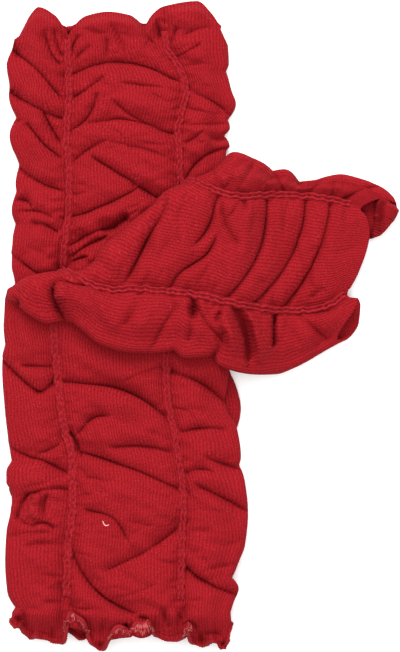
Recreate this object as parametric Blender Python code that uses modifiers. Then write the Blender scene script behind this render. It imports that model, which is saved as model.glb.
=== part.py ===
"""A pair of baby leg warmers in ruched rib knit.

One lies flat and straight. The other lies on it, with its upper half folded across to the right.
Each is a tube of knit that four lines of shirring gather lengthwise, with a smooth flared top
edge and a stretched, fluted hem. Lengths are in millimetres and are turned into metres at the end.
The straight one runs along Y and its flat underside is at z = 0.
"""

import math

import bpy

# ---- driving dimensions, in millimetres ----
TOP_Y = 140.6  # where a straight leg warmer's measure of length starts
LENGTH = 279.0  # along a leg warmer, top edge to hem
WALL = 1.7  # the knit
GAP = 0.3  # between pieces that are sewn to each other
UNDER_VISIBLE = 11.0  # height of the straight one's puffs
UNDER_HIDDEN = 5.4  # its height where the folded one presses on it
OVER_BASE = 5.8  # height that the folded one's back lies at
OVER_FLAT = 8.5  # its thickness where it is covered
OVER_VISIBLE = 11.0  # height of its puffs over that base
ROLL = 9.5  # outer radius of the fold
ROLL_MID = 5.0  # radius of its middle layer, which keeps its length
SHIRR_HEIGHT = 6.6  # the cloth's height at a line of shirring
SHIRR_HALF = 2.0  # half the flat strip of cloth that a line is sewn to
LINE_HALF = 1.45  # half a line's width
LINE_RISE = 0.9
LINE_GAP = 0.35  # from the cloth to a line
LOWEST = 4.6  # least height of a puff over the cloth's other side
HEM_BACK = 269.0  # where a hem's back ends
FLUTE = 10.5  # length of a hem's flute
BEAD = 0.8  # radius of the overlocked hem
HEM_GAP = 0.55  # from the cloth to it
EDGE_HALF = 3.6  # half the thickness of a tube's side edge
EDGE_SHARE = 0.5  # the share of a gather's depth at that edge

# The fold crosses the tube at a slant, through this point of the plan.
FOLD_AT = (1.95, 44.5)
FOLD_TURN = math.radians(40.4)
FOLD_FROM, FOLD_TO = 83.0, 112.0  # the fold's span of rows, down the tube's middle
# The folded half's own measure: from this point of the plan, along it and across it.
HALF_AT = (56.9, 35.6)
HALF_TURN = math.radians(-9.2)
HALF_START = 51.2
DROP_FROM, DROP_TO = 48.0, 77.0  # where the folded half leaves the stack, and reaches the floor

# ---- gathers ----
# From (down, across) to (down, across), bow and swing sideways, depth, and the reach of the
# hollow towards the top edge and towards the hem.
UNDER_GATHERS = (
    (15.5, -29, 27.5, -25.5, 0, 0, 1.5, 3, 3),
    (18, -49, 42, -24.5, -1.5, 0, 3.5, 2.5, 7),
    (37, -49.5, 50.5, -24, 1, 0, 3.5, 2.5, 6),
    (48, -31, 60, -25.5, 0, 0, 3.5, 3, 3),
    (53.5, -39, 67.5, -24.5, 0.5, 0, 3.0, 2.5, 6),
    (70, -45, 81.5, -24.5, 1.5, 0, 2.8, 2.5, 6),
    (84, -47.5, 90.5, -35.5, 0, 0, 2.0, 3, 4),
    (94.5, -42, 100.5, -27, -2, 0, 2.6, 2.5, 6),
    (109.5, -47.5, 118, -33.5, 0, 0, 2.5, 3, 6),
    (51.5, -49.5, 51.5, -41, 0, 0, 2.2, 4, 4),
    (97, -49, 95.5, -41, 0, 0, 2.2, 4, 4),
    (10.5, -3, 25, 4.5, 0, 0, 1.6, 3, 3),
    (18.5, 11.5, 21.5, 18.5, 0, 0, 2.0, 2.5, 4),
    (33, -24.5, 36, 28, -8.5, 0, 4.0, 2.5, 7),
    (42.5, -23.5, 32.5, -6.5, 1, 0, 3.0, 2.5, 5),
    (35.5, 1, 40, 28.5, -1, 0, 2.2, 2.5, 5),
    (40.5, -9, 57.5, -21.5, -3, 0, 4.0, 3, 4),
    (43.5, -1.5, 57.5, 25.5, 2, 0, 3.2, 2.5, 6),
    (57.5, -21.5, 54, 13, -4, 0, 2.6, 5, 2.5),
    (72, -22.5, 60, -5, -1.5, 0, 2.8, 2.5, 6),
    (60.5, -5.5, 70, 26, -1.5, 0, 2.2, 4, 5),
    (67, -11.5, 86, 18.5, -0.5, 0, 4.2, 2.5, 8),
    (93.5, -23.5, 80, 8.5, 1.5, 0, 3.5, 2.5, 7),
    (105.5, -20, 97, 0, 0, 0, 2.5, 4, 5),
    (16, 27, 11.5, 39, -1, 0, 1.8, 2.5, 4),
    (24, 22.5, 18.5, 35, 1, 0, 2.6, 2.5, 5),
    (40, 33, 51.5, 51, -1.5, 0, 3.0, 2.5, 5),
    (53.5, 29, 53, 51, 0, 0, 2.2, 2.5, 4),
    (61, 28.5, 56.5, 35.5, 0, 0, 1.8, 3, 3),
    (79, 27, 63, 51.5, -5, 0, 4.2, 2.5, 6),
    (60, 39.5, 59.5, 51.5, 0, 0, 3.5, 3, 3),
)
OVER_LOWER_GATHERS = (
    (154.5, -51, 171.5, -24, 5, 0, 4.0, 2.5, 7),
    (190, -50, 197, -34.5, 1.5, 0, 3.0, 2.5, 5),
    (196.5, -37.5, 191, -24.5, 0, 0, 2.6, 2.5, 4),
    (196, -37.5, 204, -21.5, -0.5, 0, 3.2, 2.5, 6),
    (220.5, -40.5, 211.5, -18.5, -4.5, 0, 3.0, 2.5, 4),
    (211.5, -44.5, 225, -34.5, 1.5, 0, 2.5, 3, 3),
    (228.5, -38, 228.5, -27, -3.5, 0, 2.2, 2.5, 3),
    (236.5, -48, 236, -23, -1.5, 0, 1.3, 4, 4),
    (166, -25.5, 183.5, 24.5, -6.5, 0, 4.0, 7, 2.5),
    (164.5, 2.5, 158.5, 19, -1, 0, 2.2, 2.5, 4),
    (189, -24, 179.5, -5, 0, 1.5, 2.6, 4, 2.5),
    (186, -23, 195.5, -18, 0, 0, 3.2, 2.5, 2.5),
    (193.5, -19, 212, 29, -1.5, 0, 2.8, 2.5, 5),
    (192.5, -3, 195.5, 24.5, -2, 0, 2.4, 2.5, 4),
    (200.5, -18, 213, -6, 0, 0, 1.6, 4, 4),
    (219.5, -13.5, 233, 4.5, -4, 0, 2.0, 3, 5),
    (245.5, -4, 225, 29, 2, 0, 3.0, 8, 6),
    (234, -21.5, 264.5, 7.5, 5, 0, 4.0, 3, 4),
    (251, -25, 274.5, -12.5, 1, 0, 2.2, 5, 5),
    (158.5, 18, 176.5, 49, -2.5, 0, 4.0, 6, 2.5),
    (186, 26, 185, 45.5, -1.5, 0, 2.4, 2.5, 4),
    (197, 38.5, 203.5, 55, 0, 0, 2.6, 2.5, 4),
    (204, 28, 203.5, 42, -2, 0, 2.0, 2.5, 3),
    (209, 34.5, 222, 58, -0.5, 0, 3.0, 2.5, 5),
    (219.5, 31, 221, 46.5, -0.5, 0, 1.5, 4, 4),
    (243.5, 28, 257.5, 54.5, 1.5, 0, 4.0, 2.5, 7),
)
# In the folded half's own measure.
OVER_UPPER_GATHERS = (
    (90.5, -11.5, 101, 23.5, 0, 0, 4.0, 5, 2.5),
    (64.5, -25, 74.5, 4, 0, 1, 2.8, 4, 2.5),
    (67, -16, 56.5, 1.5, 1.5, 0, 2.0, 3.5, 3.5),
    (66.5, 0, 82.5, 25, 0, -1.5, 2.8, 3, 3),
    (48, -23.5, 59, 27, -6, 0, 3.8, 5, 2.5),
    (30.5, -25.5, 47.5, 27, -6, 0, 3.5, 5, 2.5),
    (20, -28, 34.5, 27, -5, 0, 3.5, 5, 2.5),
    (67.5, -26.5, 54, -37.5, -1, 0, 2.2, 2.5, 4),
    (59, -24, 53.5, -38.5, 0, 0, 2.5, 3, 3),
    (50.5, -25, 43, -29.5, -1.5, 0, 2.0, 2.5, 2.5),
    (48.5, -35, 40, -24.5, 0, 0, 3.0, 2.5, 4),
    (39, -36.5, 33.5, -27.5, 0, 0, 3.5, 3, 3),
    (29, -25.5, 23, -34.5, 0, 0, 2.2, 3, 3),
    (17, -25.5, -4, -32.5, -2, 0, 2.2, 2.5, 4),
    (94.5, 26.5, 99, 43.5, -1, 0, 2.2, 3, 3),
    (82.5, 25, 77.5, 34, 0, 0, 2.5, 3, 3),
    (78, 31.5, 86.5, 56, 1.5, 0, 3.0, 5, 4),
    (74, 25, 56, 44, 1.5, 0, 3.8, 3, 2.5),
    (57, 39, 61.5, 54.5, -1.5, 0, 3.5, 3, 2.5),
    (70, 29, 70, 46, 0, 0, 2.2, 3, 3),
    (53.5, 27.5, 43, 56.5, -1, 0, 5.0, 6, 2.5),
    (37, 26.5, 33.5, 43, 0, 0, 4.0, 2.5, 2.5),
    (26.5, 25.5, 10.5, 36, 0, 0, 2.8, 3, 4),
    (24, 25, 2.5, 17.5, 1.5, 0, 2.6, 3, 3),
    (132, 24.5, 125, 45.5, 1, 0, 5.0, 2.5, 4),
)

# ---- outlines: (down, across) ----
UNDER_LEFT = (
    (0, -44), (27, -48.6), (37, -46.9), (40.5, -47.7), (50.3, -44.3), (58.2, -47.3), (70, -42.7),
    (79, -44.7), (82.5, -44.3), (90.7, -46.4), (96.3, -44.7), (103.3, -46), (114.6, -46.4),
    (121, -45.1), (150, -44), (195, -43), (203, -48), (212, -47.5), (220, -43), (279, -42),
)
UNDER_RIGHT = (
    (0, 46), (27, 47.7), (30.4, 46.4), (39, 49), (44.3, 50.8), (51.2, 47.3), (54.7, 48.2),
    (58.2, 45.6), (61.6, 47.7), (66, 46.5), (150, 45), (160, 48), (167, 51), (176, 53),
    (183, 52), (192, 46), (279, 45),
)
OVER_LEFT = (
    (-11, -29), (-3.7, -35), (1, -38.7), (6.8, -43.6), (13.1, -48.2), (20.3, -52), (34.1, -53.8),
    (46, -52), (48, -48.1), (54, -50), (61, -51.5), (65.3, -48.7), (75.8, -51.7), (87, -53.1),
    (98, -51.8), (103, -48.7), (109, -45.2), (121, -46.8), (136, -46), (148, -45.5),
    (156, -46.5), (170, -49.2), (180, -49), (190, -47.3), (200.5, -46.4), (207.5, -45.5),
    (214.4, -47.7), (221.3, -46.9), (228.3, -48.6), (242, -49), (256, -47.7), (262, -45.6),
    (267, -47.3), (279, -43),
)
OVER_RIGHT = (
    (-20, 28), (-17.5, 32), (-10.7, 35.8), (-2.5, 37.5), (5.5, 38.2), (13, 36.5), (18, 34.6),
    (25.5, 33.6), (35.5, 40), (41, 39), (49, 43), (60, 45), (75, 45.5), (155, 46),
    (159, 47.7), (173, 45.6), (178, 47.3), (184, 51), (197, 52.9), (200.5, 52.1), (208, 54.7),
    (221, 56), (235, 54.7), (242, 52.1), (249, 49), (254, 52), (260, 49.7), (270, 46.8), (279, 45),
)
# Top edges: (across, down).
UNDER_TOP = (
    (-50, 27), (-46, 17), (-42, 6), (-38, 2.6), (-29, 6), (-24.7, 9.5), (-22, 13), (-19.5, 9.5),
    (-14, 6), (-2, 4.3), (8.7, 6), (14.8, 9.5), (15.6, 10.4), (17, 9.5), (20, 6), (25, 2.6),
    (37, 0), (42, 6), (46, 16.5), (50, 23.4),
)
OVER_TOP = (
    (-50, 13), (-46.4, 5), (-39, -5), (-32, -10.5), (-25, -12), (-20, -11.5), (-14, -7),
    (-8, -8), (2, -9.7), (12, -7.7), (25, -3.7), (30, -11), (36, -12.5), (38, -10),
)
OVER_TOP_INSIDE = (
    (-50, 15), (-46, 8), (-39, -3), (-29, -9), (-20, -9), (2, -9), (12, -10.7), (20, -17.7),
    (28, -20.3), (32, -17.8), (36, -11), (38, -3),
)
# Hems: (across, down).
OVER_HEM = (
    (-49, 271.5), (-43, 273), (-39.5, 275), (-34.3, 277.3), (-27.3, 278.2), (-23.4, 276.5),
    (-21, 270), (-17, 268.5), (-12.7, 272), (-8.4, 281.5), (-3.5, 275), (6.5, 273.4),
    (13, 274), (16.2, 270), (21.3, 276.5), (26, 275.6), (28.2, 272.5), (31, 273), (33.4, 279),
    (38.2, 278.2), (44, 280), (47, 276), (50, 272),
)
UNDER_HEM = ((-28, 269), (-18, 275.5), (-11, 275.5), (-4, 269), (40, 269))
# Lines of shirring on the side that shows: (down, across).
UNDER_LINES = (
    ((0, -22.5), (41.7, -21.5), (60, -22.5), (75, -21.3), (90, -21.7), (116, -24.3), (279, -24)),
    ((0, 19.5), (19, 20.5), (31, 27.3), (38.6, 29.5), (48, 27.3), (57, 25.6), (66, 26.5),
     (77, 26.5), (279, 25)),
)
OVER_LINES = (
    ((-20, -23), (120, -23), (158, -24.3), (171.5, -24.7), (187.5, -22.6), (196, -20),
     (216, -19.5), (224, -20), (236, -21.7), (251, -22.1), (279, -24)),
    ((-20, 26.5), (120, 27), (156, 20.4), (171.5, 21.3), (187.5, 24.3), (204, 27), (213.5, 28.2),
     (228, 27.8), (259, 27), (279, 28)),
)
# How far the fold's edge stands out of its straight line: (along the fold, out).
FOLD_OUT = (
    (-66, 9), (-55, 7.5), (-47.7, 5.2), (-38, 1.3), (-30.6, -3.5), (-20.3, -6.4), (-14.6, -4),
    (3.6, -4), (15, -4.4), (20.7, -3.3), (33.9, -6.4), (45.8, -9.7), (57.2, -8),
)

# ---- small tools ----


def ease(t):
    """A smooth step from 0 to 1."""
    t = min(max(t, 0.0), 1.0)
    return t * t * (3 - 2 * t)


def mix(a, b, t):
    return a + (b - a) * t


def along(table, at):
    """A table's value at a place, with a smooth curve between its rows."""
    if at <= table[0][0]:
        return table[0][1]
    for (a, va), (b, vb) in zip(table, table[1:]):
        if at <= b:
            return mix(va, vb, (1 - math.cos(math.pi * (at - a) / (b - a))) / 2)
    return table[-1][1]


def hollow(gathers, down, across):
    """How far the gathers press the cloth in at a place."""
    deep = 0.0
    for d0, c0, d1, c1, bow, swing, depth, before, after in gathers:
        dd, dc = d1 - d0, c1 - c0
        size = math.hypot(dd, dc)
        t = ((down - d0) * dd + (across - c0) * dc) / size**2
        if -0.2 < t < 1.2:
            off = ((down - d0) * dc - (across - c0) * dd) / size
            off -= bow * math.sin(math.pi * t) + swing * math.sin(2 * math.pi * t)
            reach = 1.3 * (after if off > 0 else before) + 0.8
            ends = ease((t + 0.2) / 0.25) * ease((1.2 - t) / 0.25)
            deep += (0.8 * depth * ends * math.exp(-((off / reach) ** 2))) ** 3
    return deep ** (1 / 3)


def to_half(x, y):
    """A place of the plan in the folded half's own measure, (down, across)."""
    dx, dy = x - HALF_AT[0], y - HALF_AT[1]
    ca, sa = math.cos(HALF_TURN), math.sin(HALF_TURN)
    return HALF_START - (dx * ca + dy * sa), -(-dx * sa + dy * ca)


def fold_measure(x, y):
    """(along, out) of a place of the plan from the fold's line."""
    dx, dy = x - FOLD_AT[0], y - FOLD_AT[1]
    ca, sa = math.cos(FOLD_TURN), math.sin(FOLD_TURN)
    return dx * ca + dy * sa, -dx * sa + dy * ca


# ---- cross-sections ----
# A column is (part of the round, share). The parts are front, right, back and left.


def columns(front, side_front, side_back, back):
    """The columns all round a tube, from its left front line of shirring."""
    turn = [("arc", a) for a in (60, 0, -60)]
    top = [("top", i / (side_front - 1)) for i in range(side_front)]
    low = [("low", 1 - i / (side_back - 1)) for i in range(side_back)]
    side = top + turn + low
    row = [("front", 0, i / (front - 1)) for i in range(front)]
    row += [("right", kind, share) for kind, share in side]
    row += [("back", 0, i / (back - 1)) for i in range(back)]
    row += [("left", kind, share) for kind, share in reversed(side)]
    return row


def narrow(line, edge):
    """The most that half an edge's thickness may be where a ruffle is narrow."""
    return 0.42 * abs(edge - line) - 0.8


def section(column, line_l, line_r, edge_l, edge_r, half):
    """(across, face, rise) of a column. Face is 1 on the front, -1 on the back.

    Rise is 0 at the shirring, 1 at the top of a puff and -1 at the very edge.
    """
    part, kind, share = column
    inner = line_r - SHIRR_HALF - (line_l + SHIRR_HALF)
    if part in ("front", "back"):
        share = share if part == "front" else 1 - share
        rise = math.sin(math.pi * share) ** 0.6 if 0 < share < 1 else 0.0
        return line_l + SHIRR_HALF + inner * share, 1 if part == "front" else -1, rise
    sign = 1 if part == "right" else -1
    line, edge = (line_r, edge_r) if part == "right" else (line_l, edge_l)
    half = min(half, narrow(line, edge))
    start, stop = line + sign * SHIRR_HALF, edge - sign * half
    if kind == "arc":
        angle = math.radians(share)
        return stop + sign * half * math.cos(angle), math.sin(angle), -1.0
    rise = math.sin(math.pi * min(share / 0.9, 1)) ** 0.7 if share > 0 else 0.0
    return mix(start, stop, share), 1 if kind == "top" else -1, rise * 0.8


def puffed(column, rise, top):
    """Height of the cloth between a line of shirring, a puff and the edge."""
    base = mix(SHIRR_HEIGHT, 2 * EDGE_HALF, column[2]) if column[1] == "top" else SHIRR_HEIGHT
    if column[1] == "low":
        base = mix(SHIRR_HEIGHT, 2 * EDGE_HALF, column[2])
    return base + (top - base) * max(rise, 0)


def pressed(column, rise):
    """The share of a gather's depth that a column takes."""
    if column[1] in ("top", "low") and column[2] > 0:
        return mix(1, EDGE_SHARE, column[2])
    return 1 if rise > 0 else 0.35


# ---- the straight leg warmer ----


def under_cover(x, y):
    """0 where the folded one covers the straight one, 1 where it shows."""
    way, out = fold_measure(x, y)
    return ease((out - along(FOLD_OUT, way) + 3.8) / 8)


def under_point(down, column, lift=0.0):
    """The place of a point of the straight one's outside, or of one lifted off it."""
    edge_l, edge_r = along(UNDER_LEFT, down), along(UNDER_RIGHT, down)
    line_l, line_r = along(UNDER_LINES[0], down), along(UNDER_LINES[1], down)
    across, face, rise = section(column, line_l, line_r, edge_l, edge_r, EDGE_HALF)
    show = under_cover(across, TOP_Y - down)
    press = hollow(UNDER_GATHERS, down, across)
    if column[1] == "arc":
        half = mix(UNDER_HIDDEN / 2, EDGE_HALF - EDGE_SHARE / 2 * press, show)
        return across, TOP_Y - down, half * (1 + face)
    if face < 0:
        return across, TOP_Y - down, 0.0
    high = max(puffed(column, rise, UNDER_VISIBLE) - press * pressed(column, rise), LOWEST)
    high = mix(min(high, 6.4), high, ease(down / 14))
    return across, TOP_Y - down, mix(UNDER_HIDDEN, high, show) + lift


# ---- the folded leg warmer ----


def fold_over(across, down, deep):
    """Puts a point of the tube into the fold. Deep is its depth under the outer side."""
    way, out = fold_measure(across, TOP_Y - down)
    reach = ROLL_MID * math.pi / 2
    stand = along(FOLD_OUT, way) * (1 - ease((abs(out) - reach) / 40))
    if out < -reach:
        place, z = out, OVER_BASE + deep
    elif out > reach:
        place, z = -out, OVER_BASE + 2 * ROLL - deep
    else:
        turn = (out + reach) / ROLL_MID
        place = -reach + (ROLL - deep) * math.sin(turn)
        z = OVER_BASE + ROLL - (ROLL - deep) * math.cos(turn)
    place += stand
    ca, sa = math.cos(FOLD_TURN), math.sin(FOLD_TURN)
    x = FOLD_AT[0] + way * ca - place * sa
    y = FOLD_AT[1] + way * sa + place * ca
    if out > 0:
        z -= (OVER_BASE + 2 * ROLL - OVER_FLAT) * ease((x - DROP_FROM) / (DROP_TO - DROP_FROM))
    return x, y, z


def ruffle_edge(down):
    """How far across the folded half its lower ruffle reaches."""
    return FOLD_AT[0] - along(OVER_LEFT, down - 10.7)


def over_point(down, column, lift=0.0):
    """The place of a point of the folded one's outside, or of one lifted off it."""
    edge_l, edge_r = along(OVER_LEFT, down), along(OVER_RIGHT, down)
    line_l, line_r = along(OVER_LINES[0], down), along(OVER_LINES[1], down)
    across, face, rise = section(column, line_l, line_r, edge_l, edge_r, EDGE_HALF)
    out = fold_measure(across, TOP_Y - down)[1]
    upper, lower = ease((out + 1) / 8), 1 - ease((out + 10) / 8)
    half_down, half_across = to_half(*fold_over(across, down, 0)[:2])
    clear = ease((half_across - ruffle_edge(half_down) - 1) / 9) * lower
    press_low = hollow(OVER_LOWER_GATHERS, down, across)
    press_up = hollow(OVER_UPPER_GATHERS, half_down, half_across)
    if column[1] == "arc":
        half = EDGE_HALF - EDGE_SHARE / 2 * mix(press_low * clear, press_up, upper)
        half = min(half, narrow(line_l, edge_l) if column[0] == "left" else narrow(line_r, edge_r))
        return fold_over(across, down, mix(half, OVER_FLAT - half, upper) + half * face)
    share, full = pressed(column, rise), puffed(column, rise, OVER_VISIBLE)
    if face > 0:
        high = max(full - share * press_low, LOWEST)
        high = mix(high, 6.4, ease((down - 262) / 14))
        return fold_over(across, down, mix(OVER_FLAT, high, clear) + lift)
    high = max(full - share * press_up, LOWEST)
    high = mix(6.8, high, ease((down + 10) / 16))
    return fold_over(across, down, (OVER_FLAT - high) * upper - lift)


# ---- rows along a tube ----


def spread(rows, across, top, end):
    """Rows from the top edge down to a tube's end. From FOLD_FROM to FOLD_TO they lie along the fold."""
    slant, out = -0.851 * across, []
    for v in rows:
        if v < FOLD_FROM:
            out.append(mix(top, FOLD_FROM + slant, v / FOLD_FROM))
        elif v > FOLD_TO:
            out.append(mix(FOLD_TO + slant, end, (v - FOLD_TO) / (end - FOLD_TO)))
        else:
            out.append(v + slant)
    return out


def under_rows(column):
    """Where each row of the straight tube is, for one column."""
    across = section(column, -22, 25, -48, 48, EDGE_HALF)[0]
    back = 2.0 if column[0] == "back" or column[1] == "low" else 0.0
    rows = [4.9 * i for i in range(17)] + [83 + 3.6 * i for i in range(8)]
    rows += [114, 122, 134, 150, 170, 190, 210, 230, 250, 262]
    return spread(rows, across, along(UNDER_TOP, across) + back, 262)


def over_rows(column):
    """Where each row of the folded tube is, for one column."""
    across = section(column, -23, 27, -50, 46, EDGE_HALF)[0]
    inside = column[0] == "front" or column[1] == "top"
    at_top = section(column, -23, 27, -50, 37.5, EDGE_HALF)[0]
    top = along(OVER_TOP_INSIDE if inside else OVER_TOP, at_top)
    rows = [4.9 * i for i in range(17)] + [83 + 3.6 * i for i in range(9)]
    rows += [118, 126, 135, 143, 150] + [156 + 4.8 * i for i in range(22)] + [262]
    return spread(rows, across, top, 262)


def hem_rows(last, table, shares, flutes, base):
    """Rows below a tube's last one with twice its points, fluted more and more."""
    rows = []
    for share in shares:
        row = []
        for i in range(2 * len(last)):
            a, b = last[i // 2], last[(i // 2 + i % 2) % len(last)]
            x, y, z = ((p + q) / 2 for p, q in zip(a, b))
            front = ease((z - base - 1.2) / 4)
            back = HEM_BACK + 0.8 * math.sin(0.7 * x)
            wave = math.sin(2 * math.pi * x / FLUTE)
            wave = flutes * mix(0.25 * (1 - wave), wave, front) * ease((46 - abs(x)) / 10)
            y = mix(y, TOP_Y - mix(back, along(table, x), front), share)
            flare = min(share / 0.75, 1)
            row.append((x * (1 + 0.015 * flare), y, z + wave * flare))
        rows.append(row)
    return rows


# ---- building ----


def material(name, colour, rough, bump):
    mat = bpy.data.materials.new(name)
    mat.use_nodes = True
    shader = mat.node_tree.nodes["Principled BSDF"]
    shader.inputs["Base Color"].default_value = (*colour, 1)
    shader.inputs["Roughness"].default_value = rough
    shader.inputs["Sheen Weight"].default_value = bump
    return mat


def add_object(name, points, faces, mat, group):
    """A mesh object from points in millimetres."""
    mesh = bpy.data.meshes.new(name)
    mesh.from_pydata([(x * 0.001, y * 0.001, z * 0.001) for x, y, z in points], [], faces)
    mesh.materials.append(mat)
    mesh.validate()
    obj = bpy.data.objects.new(name, mesh)
    group.objects.link(obj)
    return obj


def tube_faces(rows):
    """The faces between the rows of a tube. A row may have twice the points of the one before."""
    faces, first = [], 0
    for upper, lower in zip(rows, rows[1:]):
        n, second = len(upper), first + len(upper)
        for j in range(n):
            k = (j + 1) % n
            if len(lower) == n:
                faces.append((first + j, second + j, second + k, first + k))
            else:
                mid = second + 2 * j + 1
                faces.append((first + j, mid - 1, mid))
                faces.append((first + j, mid, first + k))
                faces.append((first + k, mid, second + 2 * k))
        first = second
    return faces


def leg_warmer(name, rows, mat, group):
    """A tube of knit, an open surface with its wall added inwards."""
    points = [p for row in rows for p in row]
    obj = add_object(name, points, tube_faces(rows), mat, group)
    wall = obj.modifiers.new("Wall", "SOLIDIFY")
    wall.thickness = WALL * 0.001
    wall.offset = -1
    wall.use_even_offset = False


def tube_rows(point, row_of, cols):
    places = [row_of(column) for column in cols]
    return [[point(places[j][i], col) for j, col in enumerate(cols)] for i in range(len(places[0]))]


def closed_strip(name, rings, mat, group, closed=False):
    """A solid through rings of points, capped unless it closes on itself."""
    n = len(rings[0])
    points = [p for ring in rings for p in ring]
    faces = []
    for i in range(len(rings) if closed else len(rings) - 1):
        a, b = i * n, (i + 1) % len(rings) * n
        faces += [(a + j, a + (j + 1) % n, b + (j + 1) % n, b + j) for j in range(n)]
    if not closed:
        faces += [tuple(reversed(range(n))), tuple(range(len(points) - n, len(points)))]
    return add_object(name, points, faces, mat, group)


def shirring(name, source, rows, sides, mat, group):
    """A raised line of shirring between two columns of the cloth that it is sewn to."""
    point, row_of = source
    places = [row_of(column)[rows[0]:rows[1]] for column in sides]
    share = 0.5 - LINE_HALF / (2 * SHIRR_HALF)
    rings = []
    for pair in zip(*places):
        ring = []
        for lift, shares in ((LINE_GAP, (share, 1 - share)), (LINE_GAP + LINE_RISE, (1 - share, share))):
            a, b = (point(down, column, lift) for down, column in zip(pair, sides))
            ring += [tuple(mix(p, q, t) for p, q in zip(a, b)) for t in shares]
        rings.append(ring)
    return closed_strip(name, rings, mat, group)


def hem_bead(name, edge, mat, group):
    """The overlocked edge, a bead beyond the middle of the wall at the cloth's last row."""
    rings, count = [], len(edge)
    for i, (x, y, z) in enumerate(edge):
        before, after = edge[i - 1], edge[(i + 1) % count]
        dx, dz = after[0] - before[0], after[2] - before[2]
        size = math.hypot(dx, dz) or 1
        side = (dz / size, -dx / size)
        ring = []
        for turn in (0, 90, 180, 270):
            down, deep = BEAD * math.cos(math.radians(turn)), BEAD * math.sin(math.radians(turn))
            deep += WALL / 2
            ring.append((x + side[0] * deep, y - HEM_GAP - BEAD - down, z + side[1] * deep))
        rings.append(ring)
    return closed_strip(name, rings, mat, group, closed=True)


def remove_default_objects():
    for obj in list(bpy.data.objects):
        bpy.data.objects.remove(obj)


def main():
    remove_default_objects()
    group = bpy.data.collections.new("baby_leg_warmers")
    bpy.context.scene.collection.children.link(group)
    knit = material("red rib knit", (0.36, 0.013, 0.02), 0.85, 0.4)
    elastic = material("red shirring", (0.42, 0.03, 0.035), 0.8, 0.3)
    edging = material("red overlocking", (0.4, 0.02, 0.03), 0.8, 0.3)
    under = tube_rows(under_point, under_rows, columns(8, 4, 2, 3))
    under += hem_rows(under[-1], UNDER_HEM, (0.4, 0.75, 1), 0, 0)
    over = tube_rows(over_point, over_rows, columns(8, 4, 4, 8))
    over += hem_rows(over[-1], OVER_HEM, (0.3, 0.55, 0.8, 1), 1.3, OVER_BASE)
    leg_warmer("under_body", under, knit, group)
    leg_warmer("over_body", over, knit, group)
    hem_bead("under_hem", under[-1], edging, group)
    hem_bead("over_hem", over[-1], edging, group)
    straight, folded = (under_point, under_rows), (over_point, over_rows)
    left, right = ("front", 0, 0), ("front", 0, 1)
    by_left, by_right = ("left", "top", 0), ("right", "top", 0)
    shirring("under_left_line", straight, (2, 22), (by_left, left), elastic, group)
    shirring("under_right_line", straight, (2, 22), (right, by_right), elastic, group)
    shirring("over_lower_left_line", folded, (27, 52), (by_left, left), elastic, group)
    shirring("over_lower_right_line", folded, (29, 53), (right, by_right), elastic, group)
    left, right = ("back", 0, 1), ("back", 0, 0)
    by_left, by_right = ("left", "low", 0), ("right", "low", 0)
    shirring("over_upper_bottom_line", folded, (2, 22), (left, by_left), elastic, group)
    shirring("over_upper_top_line", folded, (2, 22), (by_right, right), elastic, group)


main()
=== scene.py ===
"""A pair of baby leg warmers in ruched rib knit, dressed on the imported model.

One leg warmer lies flat and straight. The other lies on it, its upper half folded across to the
right. Each tube of knit is gathered by twin rows of shirring and ends in a fluted, overlocked hem.

Cloth is measured in millimetres: down a tube from its top edge, and across it from its middle to
the right. The floor is at height 0, and meshes are in metres. A tube is four gores of cloth: two
faces between the lines of shirring, and two ruffles that turn round the edges. A gather is a
hollow in the cloth where the elastic draws it together, or the ridge beside one.
"""

import logging
import math
from dataclasses import dataclass, field
from enum import Enum, IntEnum
from typing import NamedTuple

import bpy
import numpy as np
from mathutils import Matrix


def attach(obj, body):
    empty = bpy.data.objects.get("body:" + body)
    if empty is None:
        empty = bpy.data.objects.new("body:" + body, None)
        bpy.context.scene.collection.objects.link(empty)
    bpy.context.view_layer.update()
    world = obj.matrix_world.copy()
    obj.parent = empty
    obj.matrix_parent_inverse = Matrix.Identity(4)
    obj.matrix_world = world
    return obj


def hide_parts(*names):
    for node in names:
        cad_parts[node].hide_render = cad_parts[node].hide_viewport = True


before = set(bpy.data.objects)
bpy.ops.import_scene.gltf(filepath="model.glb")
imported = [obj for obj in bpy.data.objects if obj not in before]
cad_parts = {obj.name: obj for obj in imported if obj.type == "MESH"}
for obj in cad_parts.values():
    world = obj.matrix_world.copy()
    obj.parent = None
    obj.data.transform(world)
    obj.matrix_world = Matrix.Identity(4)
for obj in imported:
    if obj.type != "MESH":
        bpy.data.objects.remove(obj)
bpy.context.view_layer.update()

log = logging.getLogger("leg_warmers")

MM = 0.001
SEED = 7
TOP_Y = 140.6  # where a straight leg warmer's measure of length starts
BODY_END = 264.0  # where the hem's flutes start
WALL = 1.1  # the knit
RIB = 1.39  # pitch of the ribs
GORE = 49.0  # width of the cloth between two lines of shirring on one face
RUFFLE = 21.5  # width of the cloth from a line of shirring to an edge
EDGE = 11.3  # width of the cloth that turns round an edge
STEEP = 1.6  # an outline's slope into a notch, against its mean slope there

Pair = tuple[float, float]
Triple = tuple[float, float, float]
Table = tuple[Pair, ...]
Spans = tuple[Triple, ...]
Grid = np.ndarray
Socket = bpy.types.NodeSocket


class Gather(NamedTuple):
    """A gather's hollow, from (down0, across0) to (down1, across1).

    Bow and swing move its line to its right, in one curve and in two. Before and after are its
    reach to its left and to its right: towards the top edge and the hem, where it runs across the
    cloth to the right. A ridge has a depth below 0.
    """

    down0: float
    across0: float
    down1: float
    across1: float
    bow: float
    swing: float
    depth: float
    before: float
    after: float


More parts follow.
